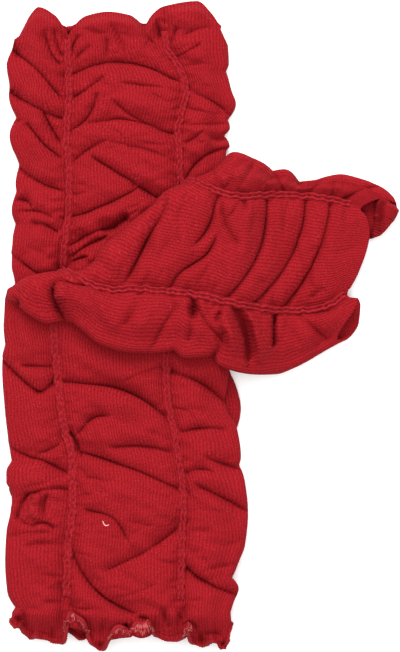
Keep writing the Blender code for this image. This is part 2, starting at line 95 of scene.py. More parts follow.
# The columns of a table of gathers are those of Gather: down0, across0, down1, across1, bow,
# swing, depth, before and after.
UNDER_GATHERS = (
    (8, -22.3, 18, -22.3, 0, 0, 5.0, 2.4, 2.4),
    (14.5, -31.5, 28, -25, 1, 0, 3.4, 2, 3),
    (13.5, -27.5, 24, -24, 0.5, 0, 3.0, 1.6, 1.8),
    (15, -17, 24, -20.5, 0.5, 0, 3.0, 1.6, 1.8),
    (20, -12, 27, -19.5, 0.5, 0, 2.4, 1.6, 2),
    (8, 16, 18, 19.5, 0, 0, 4.6, 2.4, 2.4),
    (14.5, 11, 20, 18, 0, 0, 2.6, 1.8, 2),
    (12, 25.5, 19, 22.5, 0, 0, 3.0, 1.8, 2),
    (18, -49, 42, -24.5, -1.5, 0, 4.4, 2.4, 6),
    (37, -49.5, 50.5, -24, 1, 0, 4.4, 2.4, 5),
    (47, -32.5, 61.5, -25, 0, 0, 6.0, 2.6, 3.4),
    (52.5, -39.5, 68, -24.5, 0.8, 0, 4.6, 2.4, 5),
    (70, -45, 81.5, -24.5, 1.5, 0, 4.0, 2.4, 5),
    (85.5, -44, 89, -37, -1.5, 0, 4.6, 2.6, 3),
    (91, -43, 94, -28, -2, 0, 3.4, 2.4, 3),
    (95.5, -37, 100.5, -26, -1.5, 0, 3.6, 2.5, 5),
    (106, -40, 109.5, -30.5, 0, 0, 1.5, 3, 4),
    (108.5, -47.5, 118.5, -33.5, 0, 0, 3.6, 2.5, 5),
    (51.5, -49.5, 51.5, -41, 0, 0, 2.2, 4, 4),
    (97, -49, 95.5, -41, 0, 0, 2.2, 4, 4),
    (10.5, -3, 26, 4.5, 0, 0, 2.2, 2.5, 2.5),
    (16.5, -5, 27, -7, -1.3, 0, 2.6, 2, 3),
    (18.5, 11.5, 21.5, 18.5, 0, 0, 2.0, 2.5, 4),
    (33, -24.5, 36, 28, -8.5, 0, 4.0, 2.5, 7),
    (42.5, -23.5, 32.5, -6.5, 1, 0, 3.0, 2.5, 5),
    (35.5, 1, 40, 28.5, -1, 0, 2.2, 2.5, 5),
    (40.5, -9, 57.5, -21.5, -3, 0, 4.0, 3, 4),
    (43.5, -1.5, 57.5, 25.5, 2, 0, 3.2, 2.5, 6),
    (57.5, -21.5, 54, 13, -4, 0, 3.6, 4.4, 2.4),
    (72, -22.5, 60, -5, -1.5, 0, 2.8, 2.5, 6),
    (60.5, -5.5, 70, 26, -1.5, 0, 2.2, 4, 5),
    (67, -11.5, 86, 18.5, -0.5, 0, 4.6, 2.5, 6),
    (78, 5, 85, 18, 0, 0, 4.5, 3, 3),
    (93.5, -23.5, 80, 8.5, 1.5, 0, 4.4, 2.4, 5),
    (105.5, -22, 97, -3, -1, 0, 5.5, 4, 4.5),
    (98.5, -8, 93.5, 4, 1, 0, 8.0, 3, 3),
    (112.5, -24, 101, -5, -1, 0, 7.0, 3.5, 4.5),
    (117.5, -26, 111, -14, -1, 0, 8.0, 3.5, 3),
    (11.5, 25.5, 18, 23, 0, 0, 1.8, 3, 3),
    (16, 27, 11.5, 39, -1, 0, 1.8, 2.5, 4),
    (24, 22.5, 18.5, 35, 1, 0, 2.6, 2.5, 5),
    (40, 33, 51.5, 51, -1.5, 0, 3.0, 2.5, 5),
    (53.5, 29, 53, 51, 0, 0, 2.2, 2.5, 4),
    (61.5, 28, 56, 37, 0, 0, 3.2, 2.6, 3),
    (79, 27, 63, 51.5, -5, 0, 4.2, 2.5, 6),
    (60, 39.5, 59.5, 51.5, 0, 0, 3.5, 3, 3),
)
OVER_LOWER_GATHERS = (
    (155.5, -49, 170.5, -31.5, 2, 0, 5.6, 2.4, 5),
    (162, -38.5, 160.3, -25, 0, 0, 3.2, 2.2, 3),
    (190, -50, 197, -34.5, 1.5, 0, 3.8, 2.5, 5),
    (196.5, -37.5, 191, -24.5, 0, 0, 2.6, 2.5, 4),
    (196, -37.5, 204, -21.5, -0.5, 0, 4.4, 2.5, 5),
    (213.5, -39, 211.5, -21, -1.6, 0, 2.8, 2.4, 1.6),
    (213, -34, 223, -36.8, 0.8, 0, -3.8, 2.6, 2.4),
    (212.5, -38, 224, -43.5, 1, 0, 4.6, 2.0, 2.6),
    (213, -30, 222.5, -31.5, 0.8, 0, 3.6, 2.4, 2.6),
    (226.8, -37.5, 227.2, -27.5, -2.4, 0, 3.4, 2.0, 2.2),
    (222, -43.5, 226.5, -37, 1, 0, 2.2, 2.2, 3),
    (171, -34, 162.5, -24.5, 1.5, 0, 4.4, 2.2, 2.8),
    (235.5, -40, 236, -23.5, -1.5, 0, 2.2, 3, 3),
    (166, -25.5, 183.5, 24.5, -6.5, 0, 5.4, 5.5, 2.2),
    (164.5, 2.5, 158.5, 19, -1, 0, 2.2, 2.5, 4),
    (189, -24, 179.5, -5, 0, 1.5, 3.8, 4, 2.5),
    (184.5, -22, 197, -15.5, -0.8, 0, 6.4, 2.2, 2.5),
    (193.5, -19, 212, 29, -1.5, 0, 4.2, 2.4, 5),
    (192.5, -3, 195.5, 24.5, -2, 0, 3.2, 2.5, 4),
    (186.5, 14, 190.5, 23.5, 0, 0, 1.5, 3, 3),
    (200.5, -18, 213, -6, 0, 0, 1.6, 4, 4),
    (219.5, -13.5, 233, 4.5, -4, 0, 3.6, 2.6, 5),
    (245.5, -4, 225, 29, 2, 0, 4.4, 6, 5),
    (234, -21.5, 264.5, 7.5, 5, 0, 5.4, 3, 4),
    (251, -25, 274.5, -12.5, 1, 0, 3.4, 4, 4),
    (158.5, 18, 176.5, 49, -2.5, 0, 5.4, 5, 2.2),
    (186, 26, 185, 45.5, -1.5, 0, 3.6, 2.5, 4),
    (197, 38.5, 203.5, 55, 0, 0, 4.0, 2.5, 4),
    (204, 28, 203.5, 42, -2, 0, 3.2, 2.5, 3),
    (209, 34.5, 222, 58, -0.5, 0, 4.4, 2.4, 5),
    (219.5, 31, 221, 46.5, -0.5, 0, 1.5, 4, 4),
    (243.5, 28, 257.5, 54.5, 1.5, 0, 5.4, 2.4, 6),
)
# Gathers in the folded half's own measure, HalfMeasure.
OVER_UPPER_GATHERS = (
    (90.5, -11.5, 101, 23.5, 0, 0, 5.6, 3.6, 2.2),
    (80.5, -15.5, 89, 15, 0, 0, 1.3, 5, 5),
    (64.5, -25, 74.5, 4, 0, 1, 4.2, 3.4, 2.2),
    (67, -16, 56.5, 1.5, 1.5, 0, 3.4, 3, 3),
    (66.5, 0, 82.5, 25, 0, -1.5, 4.2, 2.8, 2.6),
    (66, 12, 73, 24.5, 0, 0, 1.5, 3, 3),
    (58, -22, 55, -12, 0, 0, 2.6, 2.2, 2.2),
    (48, -23.5, 59, 27, -6, 0, 4.8, 4.4, 2.2),
    (30.5, -25.5, 47.5, 27, -6, 0, 4.4, 4.4, 2.2),
    (20, -28, 34.5, 27, -5, 0, 4.2, 4.4, 2.2),
    (15, -25, 11, -15.5, 0, 0, 1.5, 3, 3),
    (19.5, -1.5, 5.5, -6.5, 1.5, 0, 1.2, 3, 4),
    (23, 20, 17, 14, 0, 0, 2.2, 3, 3),
    (67.5, -26.5, 54, -37.5, -1, 0, 2.2, 2.5, 4),
    (59, -24, 53.5, -38.5, 0, 0, 2.5, 3, 3),
    (50.5, -25, 43, -29.5, -1.5, 0, 2.0, 2.5, 2.5),
    (48.5, -35, 40, -24.5, 0, 0, 3.0, 2.5, 4),
    (39, -36.5, 33.5, -27.5, 0, 0, 3.5, 3, 3),
    (29, -25.5, 23, -34.5, 0, 0, 2.2, 3, 3),
    (17, -24, 0, -33.5, -1.2, 0, 3.4, 2.2, 3),
    (6, -21, -2, -24.5, 0, 0, 2.6, 2, 2),
    (94.5, 26.5, 99, 43.5, -1, 0, 2.2, 3, 3),
    (82.5, 25, 77.5, 34, 0, 0, 2.5, 3, 3),
    (78, 31.5, 86.5, 56, 1.5, 0, 3.0, 5, 4),
    (74, 25, 56, 44, 1.5, 0, 3.8, 3, 2.5),
    (57, 39, 61.5, 54.5, -1.5, 0, 3.5, 3, 2.5),
    (71.5, 27.5, 70.5, 36, 0, 0, 10.0, 1.7, 1.7),
    (70, 32, 71, 46, 0, 0, 2.6, 2.2, 2.2),
    (53.5, 27.5, 43, 56.5, -1, 0, 4.5, 5, 2.5),
    (54, 28.5, 44.5, 49, -1.2, 0, 14.0, 3.2, 2.2),
    (60, 30, 51, 49, -1.2, 0, -2.6, 2.6, 2.6),
    (48.5, 28, 39.5, 50, -1.2, 0, -2.8, 2.4, 2.4),
    (58.5, 28, 60.5, 37, 0.5, 0, 3.2, 1.6, 1.6),
    (61.5, 27.5, 66, 36, 0.5, 0, 2.4, 1.6, 1.6),
    (66, 26.5, 61, 38, 0.8, 0, 2.6, 1.8, 1.8),
    (36.5, 27.5, 34.5, 42, 0, 0, 8.0, 1.7, 1.5),
    (26.5, 25.5, 10.5, 36, 0, 0, 2.8, 3, 4),
    (24, 25, 2.5, 17.5, 1.5, 0, 2.6, 3, 3),
    (130.5, 25, 126, 43, 2.4, 0, 12.0, 1.2, 2.0),
    (130.5, 25, 124, 46, 2.6, 0, 6.0, 0.9, 9),
    (126.5, 26, 122, 43, 2.4, 0, -2.2, 2.4, 2.0),
    (131, 26.5, 118, 28, 1.2, 0, 4.5, 1.6, 2),
    (147.5, 37.5, 145.5, 44, 0.5, 0, 8.0, 1.5, 1.5),
    (150, 33, 146, 36.5, 0.5, 0, 3.0, 1.5, 1.5),
)

# Outlines: (down, across).
UNDER_LEFT: Table = (
    (0, -44), (27, -48.6), (37, -46.9), (40.5, -47.7), (50.3, -44.3), (58.2, -47.3), (70, -42.7),
    (79, -44.7), (82.5, -44.3), (90.7, -46.4), (96.3, -44.7), (103.3, -46), (114.6, -46.4),
    (121, -45.1), (150, -44), (195, -43), (203, -48), (212, -47.5), (220, -43), (279, -42),
)
UNDER_RIGHT: Table = (
    (0, 46), (27, 47.7), (30.4, 46.4), (39, 49), (44.3, 50.8), (51.2, 47.3), (54.7, 48.2),
    (58.2, 45.6), (61.6, 47.7), (66, 46.5), (150, 45), (160, 48), (167, 51), (176, 53),
    (183, 52), (192, 46), (279, 45),
)
OVER_LEFT: Table = (
    (-12.5, -27), (-11, -29.5), (-3.7, -35), (1, -38.7), (6.8, -43.6), (13.1, -48.2),
    (20.3, -52), (34.1, -53.8),
    (46, -52), (48, -48.1), (54, -50), (61, -51.5), (65.3, -48.7), (75.8, -51.7), (87, -53.1),
    (97, -52.2), (102, -49.5), (107, -46.6), (111, -47.8), (117, -50.8), (121, -50),
    (126, -47.5), (130, -44.5), (134, -42.3), (139, -42.6), (148, -43.6), (155, -43.4),
    (163, -45.6), (175, -46.6), (184, -47), (191, -46.9), (199, -46), (203.5, -48.4),
    (208, -48.4), (212, -46.2), (217, -46), (222.6, -46.9), (229, -48.3), (242, -48.9),
    (255, -48), (262, -44.4), (266, -46.5), (279, -46),
)
OVER_RIGHT: Table = (
    (-22, 26), (-20.3, 28), (-17.5, 32), (-10.7, 35.8), (-2.5, 37.5), (5.5, 38.2), (13, 36.5),
    (18, 34.6), (25.5, 33.6), (35.5, 40), (41, 39), (49, 43), (60, 45), (75, 45.5), (155, 46),
    (159, 47.7), (173, 45.6), (178, 47.3), (184, 51), (197, 52.9), (200.5, 52.1), (208, 54.7),
    (221, 56), (235, 54.7), (242, 52.1), (249, 49), (254, 52), (260, 49.7), (270, 46.8), (279, 45),
)
# Top edges: (across, down).
UNDER_TOP: Table = (
    (-50, 27), (-46, 17), (-42, 6), (-38, 2.6), (-29, 6), (-24.7, 10.5), (-22, 15.2),
    (-19.5, 11.5), (-14, 7), (-2, 4.6), (8.7, 6), (14.2, 9.5), (15.8, 11.6), (17.2, 9.5),
    (20, 6), (25, 2.6), (37, 0), (42, 6), (46, 16.5), (50, 23.4),
)
UNDER_TOP_BEHIND: Table = (
    (-50, 30), (-46, 19), (-42, 8.5), (-38, 5), (-30, 7.5), (-25, 10), (-22, 10.9), (-18, 9.6),
    (-14, 6.3), (-2, 4.3), (8, 6.2), (13, 8.6), (16, 9.5), (20, 8), (25, 5), (37, 3), (42, 9),
    (46, 18), (50, 26),
)
OVER_TOP: Table = (
    (-50, -3.1), (-46.4, -3.3), (-40, -6), (-34, -8.7), (-30, -9.6), (-27.6, -9.4), (-26.6, -7.6),
    (-25.2, -5.4), (-23.5, -4.5), (-21.5, -4.4), (-19, -5.5), (-15, -6.9), (-10.7, -7.9),
    (3.7, -9.8), (10.7, -10.1), (16.7, -9.4), (23.7, -7.2), (26.6, -4.3), (29.2, -6.6),
    (31.9, -10.8), (33.5, -14.4), (35, -17.4), (37.5, -18.8),
)
OVER_TOP_INSIDE: Table = (
    (-50, -10.9), (-46.4, -11.6), (-34, -11.2), (-27.8, -9.6), (-26.2, -5.5), (-24, -3),
    (-20, -3), (2, -7.5), (9, -8.6), (12, -12.5), (19, -16.2), (24, -17.8), (28, -19.2),
    (31, -19.9), (34, -20.2), (37.5, -20),
)
# How wide the dark hollow is between the upper edge of the open mouth and the bulge of the layer
# underneath: (across, width). Below 0, the bulge starts under the edge.
MOUTH_HOLLOW: Table = (
    (9, 0.3), (12, 0.6), (16, 1.6), (20.6, 2.9), (24, 4.4), (27, 6.6), (29.2, 4.2), (31.9, 0),
    (34, -1.5), (38, -2),
)
# The hem's outline: (across, down), how far it turns up at its edge, or down below 0:
# (across, degrees), and how high its edge stands: (across, height).
OVER_HEM: Table = (
    (-49, 269.1), (-47, 269.7), (-43, 270.3), (-41.3, 270.6), (-40.2, 272.5), (-37.6, 275.8),
    (-35.5, 274.4), (-33.6, 275), (-30, 276.1), (-28.7, 277.1), (-26.5, 277.5), (-24, 277.5),
    (-23, 275.1), (-22.3, 270.6), (-21.3, 268.9), (-19, 269.6), (-17.1, 270), (-12.8, 272.5),
    (-11.9, 276.1), (-10.2, 278.6), (-7.9, 280.5), (-5.9, 279.3), (-5.2, 277.1), (-4.1, 275.5),
    (-3, 274.7), (0.9, 273.9), (4.8, 273.5), (6.5, 272.6), (10.5, 273.5), (12.6, 273),
    (14.5, 272.1), (16.2, 274.2), (18.4, 275.7), (21.3, 276.6), (24.2, 276.6), (27, 275.1),
    (28.5, 273.5), (29.8, 272.3), (30.6, 274.1), (31.2, 276.7), (32.1, 277.5), (35.3, 278.8),
    (37.5, 278.2), (38.5, 276.9), (40.4, 276.6), (41.8, 277.1), (42.7, 279.1), (43.8, 280),
    (45, 278.8), (46.4, 277.1), (47, 274.7), (50, 271.1),
)
OVER_CURL: Table = (
    (-50, 40), (-44, 70), (-41.5, 30), (-37.6, -45), (-35.2, 20), (-32, -20), (-26.5, -50),
    (-23.5, 10), (-22.5, 110), (-20.5, 165), (-17, 150), (-13.5, 130), (-12, 20), (-8.2, -50),
    (-5.2, 20), (-3.8, 115), (0, 150), (5, 120), (8, 165), (13, 165), (14.8, 60), (17, -30),
    (21, -50), (26, 0), (28.5, 110), (30, 150), (31, 20), (34, -50), (37, -30), (39, 60),
    (41.5, -20), (44.5, -50), (46.5, 20), (50, 0),
)
OVER_EDGE: Table = (
    (-50, 3), (-45, 7), (-41.5, 4.5), (-37.6, 2.6), (-35.2, 6), (-32, 4), (-27, 2.6), (-23.5, 5),
    (-21.3, 8), (-17, 7.5), (-13.5, 6.5), (-11, 4.5), (-8.2, 2.6), (-5.5, 5), (0, 6.5), (5, 6.5),
    (8, 8), (13, 8), (15, 5.5), (17.5, 3.2), (21, 2.6), (26, 4), (28.8, 8), (30.5, 6.5),
    (33.5, 2.6), (37, 3.2), (39.5, 6.5), (42, 3.6), (44.5, 2.6), (46.5, 4.5), (50, 3),
)
OVER_HEM_GATHERS = (
    (266, -44.2, 268, -41.6, 0, 0, 3.4, 1.6, 1.6),
    (263, -40.9, 272, -40.4, 0, 0, 2.2, 1.4, 1.4),
    (270.5, -28.4, 275.5, -28.9, 0, 0, 2.0, 1.6, 1.4),
    (272, -39.5, 274, -30, 0.4, 0, 1.4, 0.9, 0.9),
    (266.5, -6.0, 275.5, -7.6, 0, 0, 2.0, 1.8, 1.8),
    (277, -7.8, 280, -7.6, 0, 0, 2.0, 1.1, 1.1),
    (268.5, 3.2, 272.5, 3.2, 0, 0, 3.2, 1, 1),
    (266.2, 6.5, 267.6, 13.6, -0.8, 0, 3.0, 1.1, 1.1),
    (261.5, 19.2, 270.5, 22, 0.6, 0, 3.0, 1.5, 1.5),
    (259, 29.8, 269, 26.8, 0.5, 0, 2.4, 1.4, 1.4),
    (269.5, 27, 271.5, 34, -2, 0, 2.2, 0.9, 0.9),
    (272.5, 35.2, 278.5, 36, 0, 0, 3.0, 1.4, 1.4),
    (273.8, 36.8, 274, 44.3, -0.9, 0, 2.2, 0.9, 0.9),
    (277, 45.4, 279, 45.4, 0, 0, 3.0, 0.9, 0.9),
    (262, 24.5, 272, 24.8, 0, 0, -1.6, 2.2, 2.2),
)
UNDER_HEM: Table = ((-28, 269), (-18, 275.5), (-11, 275.5), (-4, 269), (40, 269))
# Lines of shirring: (down, across).
UNDER_LINES: tuple[Table, Table] = (
    ((0, -22.5), (41.7, -21.5), (60, -22.5), (75, -21.3), (90, -21.7), (116, -24.3), (279, -24)),
    ((0, 19.5), (19, 20.5), (31, 27.3), (38.6, 29.5), (48, 27.3), (57, 25.6), (66, 26.5),
     (77, 26.5), (279, 25)),
)
OVER_LINES: tuple[Table, Table] = (
    ((-20, -6), (-12, -9.5), (-4, -13), (4, -19.5), (15, -23), (30, -24.8), (46, -24.5),
     (60, -23.5), (120, -23), (158, -24.3), (171.5, -24.7), (187.5, -22.6), (196, -20),
     (216, -19.5), (224, -20), (236, -21.7), (251, -22.1), (279, -24)),
    ((-20, 22), (-10, 23.5), (-3, 24.8), (6, 26.5), (120, 27), (156, 20.4), (171.5, 21.3),
     (187.5, 24.3), (204, 27), (213.5, 28.2), (228, 27.8), (259, 27), (279, 28)),
)
# How far the fold's edge stands out of its straight line: (along the fold, out).
FOLD_OUT: Table = (
    (-66, 9.3), (-57, 8.9), (-52.8, 8.2), (-47.2, 7.4), (-41.8, 5), (-35.4, 1.3),
    (-30.6, -3.2), (-24.3, -6.2), (-20.3, -6.4), (-14.6, -4),
    (3.6, -4), (15, -4.4), (20.7, -3.3), (33.9, -6.4), (45.8, -9.7), (57.2, -8),
)


class Side(Enum):
    """The four gores of a tube, in the order of its round."""

    FRONT = "front"
    RIGHT = "right"
    BACK = "back"
    LEFT = "left"


FACES = (Side.FRONT, Side.BACK)


class Kind(IntEnum):
    """Where a column of cloth lies: on a face, on a ruffle's upper or lower layer, or its edge."""

    FACE = 0
    TOP = 1
    EDGE = 2
    LOW = 3


def ease(t: Grid | float) -> Grid:
    """Gives a smooth step from 0 to 1."""
    t = np.clip(t, 0.0, 1.0)
    return t * t * (3 - 2 * t)


def mix(a: Grid | float, b: Grid | float, t: Grid | float) -> Grid:
    """Gives a at t = 0 and b at t = 1."""
    return a + (b - a) * t


class Notch(Enum):
    """Which turns of an outline are sharp notches, and not round."""

    NONE = 0
    HIGH = 1
    LOW = -1


def along(table: Table, at: Grid | float, notch: Notch = Notch.NONE) -> Grid:
    """Reads a table at a place, on a smooth curve through its rows.

    Args:
        table: Rows of (place, value).
        at: The places.
        notch: Which of the curve's turns are sharp.

    Returns:
        The value at each place.
    """
    places, values = (np.array(column, float) for column in zip(*table))
    at = np.asarray(at, float)
    slope = np.diff(values) / np.diff(places)
    before, after = np.r_[0.0, slope], np.r_[slope, 0.0]
    same = before * after > 0
    both = np.where(same, 2 * before * after / np.where(same, before + after, 1), 0.0)
    sharp = (np.sign(before) == notch.value) & (np.sign(after) == -notch.value) & (notch.value != 0)
    into, out_of = np.where(sharp, STEEP * before, both), np.where(sharp, STEEP * after, both)
    i = np.clip(np.searchsorted(places, at) - 1, 0, len(places) - 2)
    span = places[i + 1] - places[i]
    t = np.clip((at - places[i]) / span, 0, 1)
    start, stop = out_of[i] * span, into[i + 1] * span
    return (values[i] * (1 + 2 * t) * (1 - t) ** 2 + start * t * (1 - t) ** 2
            + values[i + 1] * t * t * (3 - 2 * t) - stop * t * t * (1 - t))


class Pressed(NamedTuple):
    """How deep the cloth is pressed in, how far it leans over, down and across, and how far its
    ribs slip to the side."""

    deep: Grid
    down: Grid
    across: Grid
    slip: Grid


@dataclass(frozen=True)
class Hollow:
    """How a gather is shaped, how far its side leans over it, and how it draws the ribs along."""

    past: float = 0.15  # how far it runs past its ends, as a share of its length
    fade: float = 0.25  # the share of its length in which it fades out there
    uneven: float = 0.14  # how much its depth varies on the way
    short: float = 11.0  # a gather under this length tapers all along it
    taper: Pair = (0.9, 0.2)  # how strongly a short one tapers, and a longer one
    gain: float = 1.25
    rounded: float = 0.74  # the broad part of its depth
    sharp: float = 0.42  # the part in the narrow crease at its bottom
    sharp_from: float = 2.4  # the depth from which that part is whole
    crease: float = 0.8  # the reach of that crease
    lean: float = 0.34  # how far its steep side leans over it, in its depth
    lean_reach: float = 1.2
    lean_deepest: float = 4.2  # the depth from which it leans no further
    slip: float = 0.55  # how far it draws the ribs along it, in its depth
    slip_turn: float = 1.5  # within this distance they turn from one way to the other
    slip_reach: float = 9.0
    slip_most: float = 3.5

    def lengthwise(self, gather: Gather, t: Grid, size: float) -> Grid:
        """Gives the share of its depth that a gather has along its line.

        Args:
            gather: The gather.
            t: Places along it, 0 and 1 at its ends.
            size: Its length.

        Returns:
            The share at each place.
        """
        ends = ease((t + self.past) / self.fade) * ease((1 + self.past - t) / self.fade)
        ends = ends * (1 - self.uneven + self.uneven * np.cos(7 * t + gather.down0))
        return ends * np.sin(math.pi * (t + 0.2) / 1.4) ** self.taper[int(size >= self.short)]

    def sideways(self, gather: Gather, off: Grid) -> Grid:
        """Gives the share of its depth that a gather has beside its line.

        Args:
            gather: The gather.
            off: Distances to the right of its line.

        Returns:
            The share at each distance.
        """
        reach = np.where(off > 0, gather.after, gather.before)
        sharp = self.sharp * min(1.0, abs(gather.depth) / self.sharp_from) * (gather.depth > 0)
        return (self.rounded * np.exp(-((np.abs(off) / (0.9 * reach)) ** 1.35))
                + sharp * np.exp(-np.abs(off) / self.crease))


def pressed_by(gathers: tuple[Gather, ...], down: Grid, across: Grid,
               hollow: Hollow = Hollow()) -> Pressed:
    """Finds how the gathers press the cloth.

    Args:
        gathers: The gathers of one face.
        down: Places down the cloth.
        across: Places across it.
        hollow: How a gather is shaped.

    Returns:
        How the cloth is pressed at each place.
    """
    deep, lean_down, lean_across, slip = (np.zeros(down.shape) for _ in range(4))
    for g in gathers:
        dd, dc = g.down1 - g.down0, g.across1 - g.across0
        size = math.hypot(dd, dc)
        t = ((down - g.down0) * dd + (across - g.across0) * dc) / size**2
        off = ((down - g.down0) * dc - (across - g.across0) * dd) / size
        off = off - g.bow * np.sin(math.pi * t) - g.swing * np.sin(2 * math.pi * t)
        near = (t > -hollow.past) & (t < 1 + hollow.past)
        near = near & (np.abs(off) < 4 * max(g.before, g.after))
        t, off = t[near], off[near]
        ends = hollow.lengthwise(g, t, size)
        deep[near] += (hollow.gain * g.depth * ends * hollow.sideways(g, off)) ** 3
        slip[near] += (hollow.slip * g.depth * ends * dd / size * np.sign(dc)
                       * np.tanh(off / hollow.slip_turn) * np.exp(-np.abs(off) / hollow.slip_reach))
        steep = np.sign(g.after - g.before)
        lean = steep * hollow.lean * min(max(g.depth, 0), hollow.lean_deepest) * ends
        lean = lean * np.exp(-(((off + hollow.lean_reach * steep) / hollow.lean_reach) ** 2))
        lean_down[near] += lean * dc / size
        lean_across[near] -= lean * dd / size
    slip = np.clip(slip, -hollow.slip_most, hollow.slip_most)
    return Pressed(np.cbrt(deep), lean_down, lean_across, slip)


def puckers(lines: tuple[Table, Table], span: Pair, seed: int) -> list[Gather]:
    """Makes the small puckers that the stitches of shirring pull on both sides of a line.

    Args:
        lines: The two lines of a face.
        span: The first and last place down the cloth.
        seed: The random seed.

    Returns:
        The puckers, as short gathers.
    """
    rng = np.random.default_rng(seed)
    made = []
    for line in lines:
        for way in (-1, 1):
            down = span[0] + rng.uniform(0, 3)
            while down < span[1]:
                across = float(along(line, down))
                long, tilt = rng.uniform(3, 10), rng.uniform(-3.5, 3.5)
                depth = rng.uniform(0.5, 1.2)
                start, stop = across + way * 0.8, across + way * (1.2 + long)
                made.append(Gather(down, start, down + tilt, stop, rng.uniform(-0.8, 0.8), 0,
                                   depth, rng.uniform(1.2, 1.9), rng.uniform(1.4, 2.6)))
                down += rng.uniform(2.4, 5.0)
    return made


def minor(down: Pair, across: Pair, count: int, seed: int) -> list[Gather]:
    """Makes the shallow folds between the main gathers.

    Args:
        down: The first and last place down the cloth.
        across: The first and last place across it.
        count: How many folds there are.
        seed: The random seed.

    Returns:
        The folds, as shallow gathers.
    """
    rng = np.random.default_rng(seed)
    made = []
    for _ in range(count):
        at, side = rng.uniform(*down), rng.uniform(*across)
        half, tilt = rng.uniform(4, 11), rng.normal(0, 0.3)
        reach = rng.uniform(1.4, 3.4)
        made.append(Gather(at - half * math.sin(tilt), side - half * math.cos(tilt),
                           at + half * math.sin(tilt), side + half * math.cos(tilt),
                           rng.uniform(-1.5, 1.5), rng.uniform(-0.8, 0.8), rng.uniform(0.6, 1.7),
                           reach, reach * rng.uniform(0.9, 1.7)))
    return made


def ripple(down: Grid, across: Grid, seed: int, size: float) -> Grid:
    """Gives a gentle unevenness of the cloth.

    Args:
        down: Places down the cloth.
        across: Places across it.
        seed: The random seed.
        size: Its greatest height.

    Returns:
        The height at each place.
    """
    rng = np.random.default_rng(seed)
    high = np.zeros(np.broadcast(down, across).shape)
    for _ in range(14):
        turn, wave = rng.normal(0, 0.55), rng.uniform(6, 19)
        way = down * math.cos(turn) + across * math.sin(turn)
        high = high + np.sin(2 * math.pi * way / wave + rng.uniform(0, 6.28))
    return high * size / 5


def crimp(down: Grid, across: Grid, lines: tuple[Grid, Grid], seed: int) -> Grid:
    """Gives the fine crimping of the knit beside its lines of shirring.

    Args:
        down: Places down the cloth.
        across: Places across it.
        lines: Where the two lines are.
        seed: The random seed.

    Returns:
        The height at each place.
    """
    rng = np.random.default_rng(seed)
    off = np.minimum(np.abs(across - lines[0]), np.abs(across - lines[1]))
    high = np.zeros(np.broadcast(down, across).shape)
    for _ in range(9):
        turn, wave = rng.normal(0, 0.3), rng.uniform(2.9, 6.5)
        way = down * math.cos(turn) + across * math.sin(turn)
        way = way + 0.9 * np.sin(across / rng.uniform(2.5, 6) + rng.uniform(0, 6.28))
        high = high + np.sin(2 * math.pi * way / wave + rng.uniform(0, 6.28))
    return high / 4 * (0.42 * np.exp(-off / 5) + 0.1)


@dataclass(frozen=True)
class Columns:
    """The columns of cloth of one gore, in the order of the tube's round."""

    side: Side
    kind: Grid
    share: Grid  # the place on a face or from line to edge, 0 to 1, or the turn in degrees
    round: Grid  # the place across the flat knit

    @staticmethod
    def of(side: Side, step: float) -> "Columns":
        """Lays out a gore's columns.

        Args:
            side: The gore.
            step: The distance between two columns.

        Returns:
            The columns.
        """
        if side in FACES:
            count = round(GORE / step)
            share = np.linspace(0, 1, count + 1)
            return Columns(side, np.full(count + 1, Kind.FACE), share, share * GORE)
        count, turns = round(RUFFLE / step), round(EDGE / step)
        share = np.linspace(0, 1, count + 1)
        angle = np.linspace(90, -90, turns + 1)[1:-1]
        kind = np.repeat((Kind.TOP, Kind.EDGE, Kind.LOW), (count + 1, turns - 1, count + 1))
        share = np.r_[share, angle, share[::-1]]
        place = np.r_[np.linspace(0, RUFFLE, count + 1), RUFFLE + (90 - angle) / 180 * EDGE,
                      np.linspace(RUFFLE + EDGE, 2 * RUFFLE + EDGE, count + 1)]
        if side is Side.LEFT:
            kind, share = kind[::-1], share[::-1]
        return Columns(side, kind, share, place)

    def upper(self) -> Grid:
        """Gives 1 on the upper layer, 0 on the lower one, and between on a ruffle's edge.

        Returns:
            The share of each column.
        """
        if self.side in FACES:
            return np.full(self.share.shape, float(self.side is Side.FRONT))
        turn = (1 + np.sin(np.radians(self.share))) / 2
        return np.where(self.kind == Kind.TOP, 1.0, np.where(self.kind == Kind.LOW, 0.0, turn))

    def slack(self) -> Grid:
        """Gives how free the ribs are to slip: 0 at a line of shirring, 1 away from it.

        Returns:
            The share of each column.
        """
        share = np.clip(self.share, 0, 1)
        return (np.sin(np.pi * share) if self.side in FACES else share) ** 0.5


